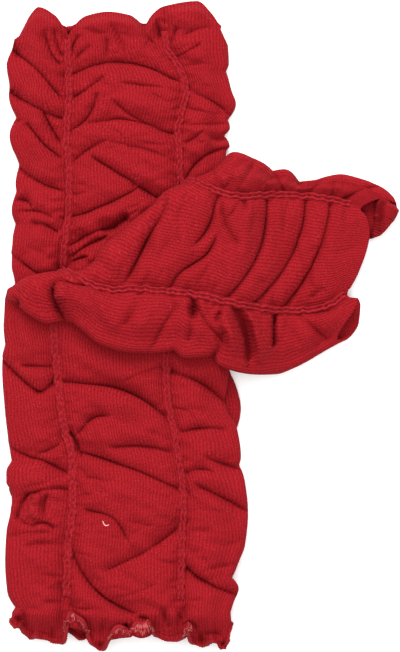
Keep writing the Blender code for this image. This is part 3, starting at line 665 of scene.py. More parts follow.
@dataclass(frozen=True)
class Section:
    """The cross-section of a tube: its edges, its lines of shirring and the puffs between."""

    edge_half: float = 3.6  # half an edge's thickness
    thinnest: float = 0.6  # the same under the deepest gather
    narrow: Pair = (0.42, 0.8)  # its limit: this share of the ruffle's width, less this
    edge_share: float = 0.8  # how much of a gather's depth an edge takes
    line_share: float = 0.4  # how much of it a line of shirring takes
    line_half: float = 0.9
    line_height: float = 6.4
    puff_reach: float = 3.4  # how soon a puff rises beside a line
    puff_height: float = 11.0
    lowest: float = 2.4  # how low a gather can press the cloth

    def half(self, edge: Grid, line: Grid) -> Grid:
        """Gives half an edge's thickness, less where a ruffle is narrow."""
        return np.minimum(self.edge_half, self.narrow[0] * np.abs(edge - line) - self.narrow[1])

    def across(self, cols: Columns, lines: tuple[Grid, Grid], edges: tuple[Grid, Grid]
               ) -> tuple[Grid, Grid, Grid]:
        """Places the columns of one gore.

        Args:
            cols: The columns.
            lines: Where the left and the right line of shirring are.
            edges: Where the left and the right edge are.

        Returns:
            The place across, the rise from a line (0) to a puff's top (1), and half the edge.
        """
        share = np.broadcast_to(cols.share, lines[0].shape)
        if cols.side in FACES:
            share = share if cols.side is Side.FRONT else 1 - share
            wide = lines[1] - lines[0]
            off = np.minimum(share, 1 - share) * wide
            return lines[0] + wide * share, self.rise(off), np.full(share.shape, self.edge_half)
        sign, i = (1, 1) if cols.side is Side.RIGHT else (-1, 0)
        half = self.half(edges[i], lines[i])
        stop = edges[i] - sign * half
        arc = stop + sign * half * np.cos(np.radians(share))
        flat = mix(lines[i], stop, share)
        rise = self.rise(np.abs(flat - lines[i])) * (1 - ease((share - 0.55) / 0.45))
        edge = cols.kind == Kind.EDGE
        return np.where(edge, arc, flat), np.where(edge, 0.0, rise), half

    def straight(self, cols: Columns, lines: Pair, edges: Pair) -> Grid:
        """Places the columns of one gore between straight lines and edges.

        Args:
            cols: The columns.
            lines: Where the left and the right line of shirring are.
            edges: Where the left and the right edge are.

        Returns:
            The place across of each column.
        """
        one = np.ones((1, len(cols.share)))
        left, right = lines
        return self.across(cols, (left * one, right * one), (edges[0] * one, edges[1] * one))[0][0]

    def rise(self, off: Grid) -> Grid:
        """Gives the rise of a puff at a distance from its line of shirring."""
        return 1 - np.exp(-np.clip(off - self.line_half, 0, None) / self.puff_reach)

    def puffed(self, cols: Columns, rise: Grid) -> Grid:
        """Gives the height of the cloth without its gathers.

        Args:
            cols: The columns.
            rise: The rise from a line (0) to a puff's top (1).

        Returns:
            The height at each place.
        """
        base = self.line_height
        if cols.side not in FACES:
            base = mix(self.line_height, 2 * self.edge_half, ease(np.clip(cols.share, 0, 1)))
        return base + (self.puff_height - base) * rise

    @staticmethod
    def near(cols: Columns) -> Grid:
        """Gives 1 on the cloth beside a line of shirring, and 0 at an edge.

        Args:
            cols: The columns.

        Returns:
            The share of each column.
        """
        if cols.side in FACES:
            return np.ones(cols.share.shape)
        return np.where(cols.kind == Kind.EDGE, 0.0, ease((1 - cols.share) / 0.3))

    def taken(self, cols: Columns, rise: Grid) -> Grid:
        """Gives the share of a gather's depth that each place takes.

        Args:
            cols: The columns.
            rise: The rise from a line (0) to a puff's top (1).

        Returns:
            The share at each place.
        """
        if cols.side in FACES:
            return mix(self.line_share, 1, ease(rise / 0.4))
        out = mix(1, self.edge_share, ease((np.clip(cols.share, 0, 1) - 0.6) / 0.4))
        return out * mix(self.line_share, 1, ease(cols.share / 0.1))


@dataclass(frozen=True)
class Fold:
    """The fold that lays a tube's upper half over to the right."""

    at: Pair = (1.95, 44.5)  # a place on its line, in the plan
    turn: float = math.radians(40.4)
    base: float = 5.8  # the height of the roll's underside
    roll: float = 9.5  # the roll's outer radius
    middle: float = 5.0  # the radius at which the roll takes up the cloth's length
    flat: float = 8.5  # the thickness of the folded tube
    straighten: float = 40.0  # how far from the roll its uneven edge is still felt
    drop: Pair = (48.0, 77.0)  # from where to where, to the right, the upper half comes down

    def measure(self, x: Grid, y: Grid) -> tuple[Grid, Grid]:
        """Measures places of the plan by the fold.

        Args:
            x: Places to the right.
            y: Places up the picture.

        Returns:
            How far along the fold and how far out of it each place is.
        """
        dx, dy = x - self.at[0], y - self.at[1]
        ca, sa = math.cos(self.turn), math.sin(self.turn)
        return dx * ca + dy * sa, -dx * sa + dy * ca

    def place(self, across: Grid, down: Grid, deep: Grid) -> Grid:
        """Puts places of the tube into the fold.

        Args:
            across: Places across the tube.
            down: Places down it.
            deep: Their depth under its outer side.

        Returns:
            The points, in millimetres.
        """
        way, out = self.measure(across, TOP_Y - down)
        reach = self.middle * math.pi / 2
        stand = along(FOLD_OUT, way) * (1 - ease((np.abs(out) - reach) / self.straighten))
        turn = np.clip((out + reach) / self.middle, 0, math.pi)
        rolled = -reach + (self.roll - deep) * np.sin(turn)
        high = self.base + self.roll - (self.roll - deep) * np.cos(turn)
        far = np.where(out < -reach, out, np.where(out > reach, -out, rolled)) + stand
        ca, sa = math.cos(self.turn), math.sin(self.turn)
        x = self.at[0] + way * ca - far * sa
        y = self.at[1] + way * sa + far * ca
        gone = ease((x - self.drop[0]) / (self.drop[1] - self.drop[0]))
        high = high - np.where(out > 0, (self.base + 2 * self.roll - self.flat) * gone, 0)
        return np.stack([x, y, high], -1)


@dataclass(frozen=True)
class HalfMeasure:
    """The folded half's own measure, along it and across it."""

    at: Pair = (56.9, 35.6)  # a place on its middle, in the plan
    turn: float = math.radians(-9.2)
    start: float = 51.2  # how far down the half that place is

    def of(self, x: Grid, y: Grid) -> tuple[Grid, Grid]:
        """Measures places of the plan by the folded half.

        Args:
            x: Places to the right.
            y: Places up the picture.

        Returns:
            How far down the half and how far across it each place is.
        """
        dx, dy = x - self.at[0], y - self.at[1]
        ca, sa = math.cos(self.turn), math.sin(self.turn)
        return self.start - (dx * ca + dy * sa), -(-dx * sa + dy * ca)

    def lean(self, press: Pressed) -> tuple[Grid, Grid]:
        """Gives a lean in this measure as a move in the plan."""
        ca, sa = math.cos(self.turn), math.sin(self.turn)
        return -press.down * ca + press.across * sa, -press.down * sa - press.across * ca


def spread(rows: Grid, across: Grid, top: Grid) -> Grid:
    """Places rows from a top edge down to the hem, with those at the fold along it.

    Args:
        rows: The rows' nominal places.
        across: The columns' nominal places.
        top: The top edge of each column.

    Returns:
        The place down the tube of each row and column.
    """
    fold_from, fold_to, fold_slope = 83.0, 112.0, -0.851
    rows, slant = rows[:, None], fold_slope * across[None, :]
    upper = mix(top[None, :], fold_from + slant, rows / fold_from)
    share = (rows - fold_to) / (BODY_END - fold_to)
    lower = mix(fold_to + slant, BODY_END, share)
    return np.where(rows < fold_from, upper, np.where(rows > fold_to, lower, rows + slant))


def row_places(spans: Spans) -> Grid:
    """Lays out rows.

    Args:
        spans: The start, the stop and the step of each span of rows.

    Returns:
        The place of each row.
    """
    parts = [np.linspace(a, b, max(2, round((b - a) / step)), endpoint=False)
             for a, b, step in spans]
    return np.append(np.concatenate(parts), spans[-1][1])


@dataclass
class Cloth:
    """A grid of cloth: its points, in millimetres, and its places on the flat knit."""

    points: Grid
    flat: Grid

    def cut(self) -> Pair:
        """Gives the width and the length that the cloth has when it is laid out flat.

        Returns:
            The mean width and the mean length, whose product is the cloth's area.
        """
        across, down = np.diff(self.points, axis=1)[:-1], np.diff(self.points, axis=0)[:, :-1]
        area = np.linalg.norm(np.cross(across, down), axis=-1).sum()
        long = np.linalg.norm(np.diff(self.points, axis=0), axis=-1).sum(0).mean()
        return float(area / long), float(long)


@dataclass
class LegWarmer:
    """What both leg warmers have: a tube of four gores, with its outlines and lines."""

    name: str
    left: Table
    right: Table
    lines: tuple[Table, Table]
    section: Section = field(default_factory=Section)
    seed: int = SEED
    mean_lines: Pair = (-22.5, 26.0)
    mean_edges: Pair = (-49.0, 47.0)
    relief: float = 0.7  # the unevenness of the cloth

    def nominal(self, cols: Columns) -> Grid:
        """Gives a gore's columns at their mean places across."""
        return self.section.straight(cols, self.mean_lines, self.mean_edges)

    def laid(self, down: Grid, cols: Columns) -> tuple[tuple[Grid, Grid], Grid, Grid, Grid]:
        """Lays a gore's columns between its lines and its edges.

        Args:
            down: Places down the tube.
            cols: The columns.

        Returns:
            The two lines, then each column's place across, its rise and half its edge.
        """
        left, right = (along(line, down) for line in self.lines)
        edges = along(self.left, down, Notch.HIGH), along(self.right, down, Notch.LOW)
        return (left, right), *self.section.across(cols, (left, right), edges)

    def place(self, down: Grid, cols: Columns, lift: float = 0.0) -> Grid:
        """Places points of the outside."""
        raise NotImplementedError

    def top(self, cols: Columns) -> Grid:
        """Gives the top edge of each column."""
        raise NotImplementedError

    def slip(self, down: Grid, cols: Columns) -> Grid:
        """Gives how far the ribs slip to the side, by the gathers."""
        raise NotImplementedError

    def rows(self, side: Side) -> Spans:
        """Gives the spans of rows of a gore, finer where it shows."""
        raise NotImplementedError

    def hem(self, cols: Columns, across: Grid) -> tuple[Grid, Grid, Grid]:
        """Gives how far down each column's hem reaches, its curl and its height."""
        raise NotImplementedError

    def gore(self, side: Side, step: float) -> Cloth:
        """Makes one gore, from its top edge to its hem.

        Args:
            side: The gore.
            step: The distance between two columns.

        Returns:
            The gore's grid.
        """
        cols = Columns.of(side, step)
        rows = row_places(self.rows(side))
        down = spread(rows, self.nominal(cols), self.top(cols))
        body = self.place(down, cols)
        hem, flat_hem = self.flutes(body[-1], cols)
        slip = self.slip(down, cols)
        flat = np.stack([cols.round[None, :] + slip, np.broadcast_to(down, slip.shape)], -1)
        below = cols.round[None, :] + slip[-1:] + 0 * flat_hem
        below = np.stack([below, BODY_END + flat_hem], -1)
        return Cloth(np.concatenate([body, hem]), np.concatenate([flat, below]))

    def flutes(self, last: Grid, cols: Columns) -> tuple[Grid, Grid]:
        """Carries the cloth on from its last row into the fluted hem.

        Args:
            last: The points of the last row.
            cols: The columns.

        Returns:
            The hem's points, and their places down the flat knit.
        """
        reach, curl, high = self.hem(cols, last[:, 0])
        count, turn = 26, 3.0  # the rows, and the length of cloth that the curl's bend takes
        tail = 1.0 + 3.8 * ease((curl - 95) / 50)  # the length beyond it
        bend = np.radians(np.maximum(np.abs(curl), 1.0))
        run = np.where(bend < math.pi / 2, turn / bend * np.sin(bend) + tail * np.cos(bend),
                       turn / bend)
        flat = np.maximum(reach - BODY_END - run, 1.0)
        far = np.linspace(0, 1, count + 1)[:, None] * (flat + turn + tail)
        angle = np.radians(curl) * ease((far - flat) / turn)
        step = np.diff(far, axis=0)
        middle = (angle[1:] + angle[:-1]) / 2
        out, rise = np.cumsum(np.cos(middle) * step, 0), np.cumsum(np.sin(middle) * step, 0)
        left = far[-1] - far[1:]
        rim = 0.4 * ease((2.1 - left) / 0.5) - 0.55 * np.exp(-(((left - 2.5) / 0.5) ** 2))
        face = np.where(cols.kind == Kind.LOW, -1.0, 1.0) * (-1 if cols.side is Side.BACK else 1)
        points = np.broadcast_to(last, (count, *last.shape)).copy()
        points[..., 0] *= 1 + 0.012 * far[1:] / far[-1]
        points[..., 1] += -out + rim * face * np.sin(angle[1:])
        new = ease(far[1:] / (flat + 1.5))
        low = mix(last[:, 2], high, new) - self.hem_press(points, cols)
        low = low + (1 - new) * self.hem_press(last[None], cols)
        points[..., 2] = np.maximum(low + rise + rim * face * np.cos(angle[1:]), 0.2)
        return points, far[1:]

    def hem_press(self, points: Grid, cols: Columns) -> Grid:
        """Gives how deep gathers press the hem at its points."""
        return np.zeros(points.shape[:2])


@dataclass
class Straight(LegWarmer):
    """The leg warmer that lies flat, with the folded one on its lower half."""

    fold: Fold = field(default_factory=Fold)
    hidden: float = 5.4  # its height under the folded one
    tucked: float = 3.8  # how far under the folded one's edge it starts to rise
    settle: float = 8.0  # and over how far
    brim: float = 5.4  # the height of its top edge
    peak: Triple = (-22, 6, 3.4)  # on the underside at the mouth: across, width and height
    hem_end: float = 269.0

    def __post_init__(self) -> None:
        """Gathers the large and the small folds of the face that shows."""
        small = puckers(self.lines, (14, 135), self.seed)
        small += minor((12, 112), (-44, 44), 46, self.seed + 20)
        self.folds = tuple(Gather(*row) for row in UNDER_GATHERS) + tuple(small)

    def shown(self, x: Grid, y: Grid) -> Grid:
        """Gives 0 where the folded one covers this one, and 1 where it shows."""
        way, out = self.fold.measure(x, y)
        return ease((out - along(FOLD_OUT, way) + self.tucked) / self.settle)

    def place(self, down: Grid, cols: Columns, lift: float = 0.0) -> Grid:
        """Places points of the outside.

        Args:
            down: Places down the tube, a column for each column of cloth.
            cols: The columns.
            lift: How far the points stand off the cloth.

        Returns:
            The points, in millimetres.
        """
        sec, y, from_top = self.section, TOP_Y - down, down - self.top(cols)[None, :]
        lines, across, rise, half = self.laid(down, cols)
        show = self.shown(across, y)
        press = pressed_by(self.folds, down, across)
        taken = sec.taken(cols, rise)
        high = sec.puffed(cols, rise)
        high = high + ripple(down, across, self.seed, self.relief) * rise - press.deep * taken
        high = high + crimp(down, across, lines, self.seed) * sec.near(cols)
        high = mix(self.brim, np.maximum(high, sec.lowest), ease(from_top / 5))
        high = mix(self.hidden, high, show) + lift
        edge = np.maximum(half - sec.edge_share / 2 * press.deep, sec.thinnest)
        edge = mix(self.hidden / 2, edge, show)
        turned = edge * (1 + np.sin(np.radians(np.broadcast_to(cols.share, down.shape))))
        z = np.where(cols.kind == Kind.EDGE, turned, np.where(cols.kind == Kind.LOW, 0.0, high))
        if cols.side is Side.BACK:
            at, wide, peak = self.peak
            mouth = (1 - ease((from_top - 0.9) / 2)) * (down < 30)
            z = peak * mouth * np.exp(-(((across - at) / wide) ** 2))
        lean = show * np.where(z > 0.5, 1.0, 0.0) * taken
        lean = lean * (cols.side is not Side.BACK)
        return np.stack([across + press.across * lean, y - press.down * lean, z], -1)

    def slip(self, down: Grid, cols: Columns) -> Grid:
        """Gives how far the ribs slip to the side, by the gathers.

        Args:
            down: Places down the tube.
            cols: The columns.

        Returns:
            The slip at each place.
        """
        _, across, _, _ = self.laid(down, cols)
        slip = pressed_by(self.folds, down, across).slip
        return slip * (0 if cols.side is Side.BACK else cols.slack())

    def top(self, cols: Columns) -> Grid:
        """Gives the top edge of each column, which differs between the two layers."""
        at = self.nominal(cols)
        return mix(along(UNDER_TOP_BEHIND, at), along(UNDER_TOP, at, Notch.HIGH), cols.upper())

    def rows(self, side: Side) -> Spans:
        """Gives the spans of rows of a gore, finer where it shows.

        Args:
            side: The gore.

        Returns:
            The start, the stop and the step of each span.
        """
        if side is Side.BACK:
            return ((0, 12, 0.8), (12, BODY_END, 3.0))
        return ((0, 126, 0.66), (126, 150, 1.5), (150, BODY_END, 3.0))

    def hem(self, cols: Columns, across: Grid) -> tuple[Grid, Grid, Grid]:
        """Gives how far down each column's hem reaches, its curl and its height.

        Args:
            cols: The columns.
            across: Their places across.

        Returns:
            The place down of each column's edge, its turn in degrees, and its height.
        """
        reach = along(UNDER_HEM, across) if cols.side is Side.FRONT else self.hem_end
        wave = 14 * np.sin(0.62 * across)
        return reach + 0.8 * np.sin(0.7 * across), wave, cols.upper() * (3.4 + 0.05 * wave)


@dataclass
class Folded(LegWarmer):
    """The leg warmer that lies on the straight one, its upper half folded to the right."""

    fold: Fold = field(default_factory=Fold)
    half: HalfMeasure = field(default_factory=HalfMeasure)
    mean_lines: Pair = (-23.0, 27.0)
    mean_edges: Pair = (-50.0, 46.0)
    top_edges: Pair = (-50.0, 37.5)  # at the mouth
    upper_lines: Pair = (-25.0, 26.5)  # in the folded half's own measure
    brim: float = 6.8  # the height of its top edge
    bulge: float = 8.6  # how high the layer underneath stands up in the mouth
    bulge_from: Pair = (9, 5)  # where that starts, across, and over how far
    bulge_to: Pair = (32, 1.9)
    half_shift: float = 10.7  # what the half's own measure is ahead of the tube's
    under_hem: float = 5.8  # the height of the straight one's hem
    hem_end: float = 269.0

    def __post_init__(self) -> None:
        """Gathers the large and the small folds of both faces that show."""
        small = puckers(self.lines, (140, 258), self.seed + 1)
        small += minor((150, 262), (-44, 50), 54, self.seed + 21)
        shown = OVER_LOWER_GATHERS + OVER_HEM_GATHERS
        self.folds = tuple(Gather(*row) for row in shown) + tuple(small)
        lines = tuple(((-20, at), (140, at)) for at in self.upper_lines)
        small = puckers(lines, (-2, 112), self.seed + 2)
        small += minor((0, 112), (-36, 50), 40, self.seed + 22)
        self.upper_folds = tuple(Gather(*row) for row in OVER_UPPER_GATHERS) + tuple(small)

    def ruffle(self, down: Grid) -> Grid:
        """Gives how far across the folded half its lower ruffle reaches."""
        return self.fold.at[0] - along(self.left, down - self.half_shift)

    def layers(self, across: Grid, down: Grid) -> tuple[Grid, Grid]:
        """Finds which half of the tube places are in.

        Args:
            across: Places across the tube.
            down: Places down it.

        Returns:
            How far each place is in the half above the fold, and in the one below it.
        """
        out = self.fold.measure(across, TOP_Y - down)[1]
        upper_from, lower_to, blend = -1.0, -10.0, 8.0
        return ease((out - upper_from) / blend), 1 - ease((out - lower_to) / blend)

    def folded(self, across: Grid, down: Grid) -> tuple[Grid, Grid]:
        """Measures places of the tube by the folded half that lies over them.

        Args:
            across: Places across the tube.
            down: Places down it.

        Returns:
            How far down the half and how far across it each place is.
        """
        plan = self.fold.place(across, down, np.zeros(down.shape))
        return self.half.of(plan[..., 0], plan[..., 1])

    def place(self, down: Grid, cols: Columns, lift: float = 0.0) -> Grid:
        """Places points of the outside.

        Args:
            down: Places down the tube, a column for each column of cloth.
            cols: The columns.
            lift: How far the points stand off the cloth.

        Returns:
            The points, in millimetres.
        """
        sec, flat = self.section, self.fold.flat
        lines, across, rise, half = self.laid(down, cols)
        upper, lower = self.layers(across, down)
        half_down, half_across = self.folded(across, down)
        clear = ease((half_across - self.ruffle(half_down) - 1) / 9) * lower
        low = pressed_by(self.folds, down, across)
        up = pressed_by(self.upper_folds, half_down, half_across)
        taken, full = sec.taken(cols, rise), sec.puffed(cols, rise)
        full = full + ripple(down, across, self.seed, self.relief) * rise
        full = full + crimp(down, across, lines, self.seed + 5) * sec.near(cols)
        front = np.maximum(full - taken * low.deep, sec.lowest)
        front = mix(flat, front, clear) - self.lip(down, cols) + lift
        back = np.maximum(full - taken * up.deep, sec.lowest)
        back = mix(self.brim, back, ease((down + 10) / 16))
        back = (flat - back) * upper - lift
        edge = np.maximum(half - sec.edge_share / 2 * mix(low.deep * clear, up.deep, upper),
                          sec.thinnest)
        turn = np.sin(np.radians(np.broadcast_to(cols.share, down.shape)))
        turned = mix(edge, flat - edge, upper) + edge * turn
        deep = np.where(cols.kind == Kind.EDGE, turned,
                        np.where(cols.kind == Kind.LOW, back, front))
        if cols.side is Side.BACK:
            deep = back
        on_front = np.clip(deep / flat, 0, 1) * clear * taken
        on_back = np.clip(1 - deep / flat, 0, 1) * upper * taken
        points = self.fold.place(across, down, deep)
        lean_x, lean_y = self.half.lean(up)
        points[..., 0] += low.across * on_front + lean_x * on_back
        points[..., 1] += -low.down * on_front + lean_y * on_back
        return points

    def slip(self, down: Grid, cols: Columns) -> Grid:
        """Gives how far the ribs slip to the side, by the gathers.

        Args:
            down: Places down the tube.
            cols: The columns.

        Returns:
            The slip at each place.
        """
        _, across, _, _ = self.laid(down, cols)
        upper, lower = self.layers(across, down)
        low = pressed_by(self.folds, down, across).slip * lower
        up = pressed_by(self.upper_folds, *self.folded(across, down)).slip
        return (low - up * upper) * cols.slack()

    def top(self, cols: Columns) -> Grid:
        """Gives the top edge of each column, further out on the layer underneath.

        Args:
            cols: The columns.

        Returns:
            The place down of each column's top edge.
        """
        at = self.section.straight(cols, self.mean_lines, self.top_edges)
        turned = np.where(cols.kind == Kind.EDGE, (cols.share + 90) / 180, 0)
        inside = np.where(cols.kind == Kind.TOP, 1.0, turned)
        if cols.side is Side.FRONT:
            inside = np.ones(cols.share.shape)
        return mix(along(OVER_TOP, at), along(OVER_TOP_INSIDE, at), ease(inside))

    def lip(self, down: Grid, cols: Columns) -> Grid:
        """Gives how far the layer underneath stands up round the open mouth.

        Args:
            down: Places down the tube.
            cols: The columns.

        Returns:
            The height at each place.
        """
        if cols.side in (Side.BACK, Side.LEFT):
            return np.zeros(down.shape)
        at = self.section.straight(cols, self.mean_lines, self.top_edges)
        in_from = down - self.top(cols)[None, :]
        out_from = along(OVER_TOP, at)[None, :] - down
        hollow = along(MOUTH_HOLLOW, at)[None, :]
        shape = ease((out_from - hollow) / 2.6) * (0.78 + 0.22 * ease(in_from / 2.5))
        (start, start_run), (stop, stop_run) = self.bulge_from, self.bulge_to
        where = ease((at - start) / start_run) * (1 - ease((at - stop) / stop_run))
        where = np.where((cols.kind == Kind.EDGE) | (cols.kind == Kind.LOW), 0.0, where)
        return self.bulge * shape * where[None, :]

    def rows(self, side: Side) -> Spans:
        """Gives the spans of rows of a gore, finer where it shows.

        Args:
            side: The gore.

        Returns:
            The start, the stop and the step of each span.
        """
        if side is Side.FRONT:
            return ((0, 14, 0.8), (14, 98, 2.5), (98, BODY_END, 0.62))
        if side is Side.BACK:
            return ((0, 116, 0.62), (116, BODY_END, 3.0))
        return ((0, BODY_END, 0.78),)

    def hem_press(self, points: Grid, cols: Columns) -> Grid:
        """Gives how deep gathers press the hem at its points.

        Args:
            points: The hem's points.
            cols: The columns.

        Returns:
            The depth at each point.
        """
        if cols.side is Side.BACK:
            return np.zeros(points.shape[:2])
        press = pressed_by(self.folds, TOP_Y - points[..., 1], points[..., 0])
        return press.deep * cols.upper()

    def hem(self, cols: Columns, across: Grid) -> tuple[Grid, Grid, Grid]:
        """Gives how far down each column's hem reaches, its curl and its height.

        Args:
            cols: The columns.
            across: Their places across.

        Returns:
            The place down of each column's edge, its turn in degrees, and its height.
        """
        upper = cols.upper()
        reach = mix(self.hem_end + 0.8 * np.sin(0.7 * across), along(OVER_HEM, across), upper)
        curl = mix(16 * np.sin(0.66 * across), along(OVER_CURL, across), upper)
        high = mix(self.under_hem, self.under_hem + along(OVER_EDGE, across), upper)
        return reach, curl, high


class Nodes:
    """A new material, with methods that add nodes to it."""

    def __init__(self, name: str) -> None:
        """Makes the material.

        Args:
            name: Its name.
        """
        self.material = bpy.data.materials.new(name)
        self.material.use_nodes = True
        self.tree = self.material.node_tree
        self.shader = self.tree.nodes["Principled BSDF"]

    def put(self, node: bpy.types.Node, slot: str | int, value: Socket | Triple | float) -> None:
        """Links a socket to a node's input, or sets the input.

        Args:
            node: The node.
            slot: The input's name or number.
            value: A socket, a colour or a number.
        """
        if isinstance(value, Socket):
            self.tree.links.new(value, node.inputs[slot])
        elif isinstance(value, tuple):
            node.inputs[slot].default_value = (*value, 1)
        else:
            node.inputs[slot].default_value = value

    def shade(self, **values: Socket | Triple | float) -> None:
        """Sets inputs of the shader.

        Args:
            values: What each input gets, by its name with _ for a space.
        """
        for slot, value in values.items():
            self.put(self.shader, slot.replace("_", " "), value)

    def math(self, kind: str, *values: Socket | float) -> Socket:
        """Adds a Math node.

        Args:
            kind: The operation.
            values: Its values.

        Returns:
            The node's output.
        """
        node = self.tree.nodes.new("ShaderNodeMath")
        node.operation = kind
        for slot, value in enumerate(values):
            self.put(node, slot, value)
        return node.outputs[0]

    def noise(self, place: Socket, scale: float, detail: float) -> Socket:
        """Adds a Noise Texture node.

        Args:
            place: Where it is read.
            scale: Its scale, in a metre.
            detail: Its detail.

        Returns:
            The node's factor.
        """
        node = self.tree.nodes.new("ShaderNodeTexNoise")
        for slot, value in (("Scale", scale), ("Detail", detail), ("Vector", place)):
            self.put(node, slot, value)
        return node.outputs["Fac"]

    def blend(self, factor: Socket, low: Socket | Triple, high: Triple) -> Socket:
        """Adds a Mix node for colours.

        Args:
            factor: How much of the second colour there is.
            low: The first colour.
            high: The second colour.

        Returns:
            The mixed colour.
        """
        node = self.tree.nodes.new("ShaderNodeMix")
        node.data_type = "RGBA"
        for slot, value in (("Factor", factor), (6, low), (7, high)):
            self.put(node, slot, value)
        return node.outputs[2]

    def bump(self, high: Socket, distance: float, strength: float) -> None:
        """Gives the shader a relief.

        Args:
            high: The height.
            distance: The height of 1, in metres.
            strength: How strongly it shows.
        """
        node = self.tree.nodes.new("ShaderNodeBump")
        for slot, value in (("Height", high), ("Distance", distance), ("Strength", strength)):
            self.put(node, slot, value)
        self.shade(Normal=node.outputs["Normal"])


@dataclass(frozen=True)
class KnitFinish:
    """Rib knit in soft red cotton, with ribs down the tube and rows of small loops, and with shade
    painted between the ribs and into deep creases.
    """

    name: str = "red rib knit"
    ridge: Triple = (0.264, 0.0062, 0.0105)
    # The dark end of the knit's tone: painted shade in the ribs' valleys, and darker tone at
    # random.
    rib_shade_and_dark_tone: Triple = (0.13, 0.001, 0.0024)
    fleck: Triple = (0.32, 0.032, 0.042)
    # The colour of the shade painted into deep creases, and the share of it that the deepest crease
    # gets.
    crease: Triple = (0.055, 0.0003, 0.0008)
    crease_shade_share: float = 0.8
    rib: float = RIB
    loop: float = 1.05  # pitch of the rows of loops
    relief: float = 0.26
    ribbed: float = 1.0  # how strongly the ribs show, in relief and in the shade painted between them
    sway: Pair = (130, 1.1)  # how the ribs wander: the noise's scale, and how far
    lean: Pair = (38, 5.5)  # and how they wander in long bends
    fibre: float = 2200  # scales of the noise for fibres, clouds and lint
    cloud: float = 55
    lint: float = 1500

    def make(self) -> bpy.types.Material:
        """Makes the material.

        Returns:
            The material.
        """
        nodes = Nodes(self.name)
        calc = nodes.math
        uv_map = nodes.tree.nodes.new("ShaderNodeUVMap")
        uv_map.uv_map = "cloth"
        uv = uv_map.outputs["UV"]
        parts = nodes.tree.nodes.new("ShaderNodeSeparateXYZ")
        nodes.put(parts, 0, uv)
        u, v = parts.outputs[0], parts.outputs[1]
        sway = calc("MULTIPLY", nodes.noise(uv, self.sway[0], 2), self.sway[1] * MM)
        lean = calc("MULTIPLY", nodes.noise(uv, self.lean[0], 1), self.lean[1] * MM)
        rib = calc("MULTIPLY", calc("ADD", u, calc("ADD", sway, lean)), math.pi / (self.rib * MM))
        rib = calc("POWER", calc("ABSOLUTE", calc("SINE", rib)), 0.7)
        loop = calc("MULTIPLY", v, 2 * math.pi / (self.loop * MM))
        loop = calc("SINE", calc("ADD", loop, calc("MULTIPLY", rib, 1.8)))
        fuzz, cloud = nodes.noise(uv, self.fibre, 3), nodes.noise(uv, self.cloud, 2)
        high = calc("MULTIPLY", rib, self.ribbed)
        high = calc("ADD", high, calc("MULTIPLY", loop, 0.09))
        high = calc("ADD", high, calc("MULTIPLY", fuzz, 0.35))
        nodes.bump(high, self.relief * MM, 0.85)
        # Painted shade: the ribs' valleys get the darker colour, standing in for shade between the
        # ribs. Fuzz, clouds and loops vary the tone at random.
        tone = calc("MULTIPLY", rib, 0.5 * self.ribbed)
        tone = calc("ADD", tone, 0.06 + 0.34 * (1 - self.ribbed))
        for part, share in ((fuzz, 0.55), (cloud, 0.35), (loop, 0.03)):
            tone = calc("ADD", tone, calc("MULTIPLY", part, share))
        colour = nodes.blend(calc("SUBTRACT", tone, 0.18), self.rib_shade_and_dark_tone, self.ridge)
        lint = calc("POWER", nodes.noise(uv, self.lint, 1), 5.0)
        colour = nodes.blend(calc("MULTIPLY", lint, 2.4), colour, self.fleck)
        # Painted shade: the colour darkens towards the crease colour by the crease attribute, which
        # says how deep the cloth lies in a crease.
        crease = nodes.tree.nodes.new("ShaderNodeAttribute")
        crease.attribute_name = "crease"
        crease = calc("MULTIPLY", crease.outputs["Fac"], self.crease_shade_share)
        nodes.shade(Base_Color=nodes.blend(crease, colour, self.crease),
                    Roughness=calc("ADD", calc("MULTIPLY", fuzz, 0.2), 0.72),
                    Specular_IOR_Level=0.03, Sheen_Weight=0.02, Sheen_Roughness=0.45,
                    Sheen_Tint=(1.0, 0.3, 0.3))
        return nodes.material


@dataclass(frozen=True)
class ThreadFinish:
    """Twisted sewing thread."""

    name: str = "red thread"
    light: Triple = (0.31, 0.011, 0.018)
    dark: Triple = (0.23, 0.005, 0.009)
    fibre: float = 3000  # the scale of its fibres, in a metre
    relief: float = 0.15

    def make(self) -> bpy.types.Material:
        """Makes the material.

        Returns:
            The material.
        """
        nodes = Nodes(self.name)
        place = nodes.tree.nodes.new("ShaderNodeTexCoord").outputs["Object"]
        fuzz = nodes.noise(place, self.fibre, 2)
        nodes.bump(fuzz, self.relief * MM, 1.0)
        nodes.shade(Base_Color=nodes.blend(fuzz, self.dark, self.light), Roughness=0.75,
                    Specular_IOR_Level=0.15)
        return nodes.material


@dataclass(frozen=True)
class FloorFinish:
    """Plain pale paper."""

    name: str = "pale paper"
    colour: Triple = (0.95, 0.95, 0.95)
    glow: float = 0.16

    def make(self) -> bpy.types.Material:
        """Makes the material.

        Returns:
            The material.
        """
        nodes = Nodes(self.name)
        nodes.shade(Base_Color=self.colour, Roughness=0.9, Emission_Color=(1.0, 1.0, 1.0),
                    Emission_Strength=self.glow)
        return nodes.material


def crease_shade_mask(points: Grid, normals: Grid) -> Grid:
    """Gives how deep the points of a grid lie in a crease of the cloth. This is the mask by which
    shade is painted into the creases.

    Args:
        points: The grid, in millimetres.
        normals: The way out of the cloth at each point.

    Returns:
        The depth under the cloth round each point: 0 on open cloth, 1 deep in a crease.
    """
    span, rim = 4, 6  # points on each side that it is compared with, and rows that fade out
    shallow, deep = 0.4, 2.2
    box = np.ones(2 * span + 1) / (2 * span + 1)
    smooth = points
    for axis in (0, 1):
        pad = [(span, span) if i == axis else (0, 0) for i in range(3)]
        smooth = np.apply_along_axis(np.convolve, axis, np.pad(smooth, pad, "edge"), box, "valid")
    depth = ((smooth - points) * normals).sum(-1)
    depth[:rim] *= np.linspace(0, 1, rim)[:, None]
    depth[-rim:] *= np.linspace(1, 0, rim)[:, None]
    return np.clip((depth - shallow) / deep, 0, 1)


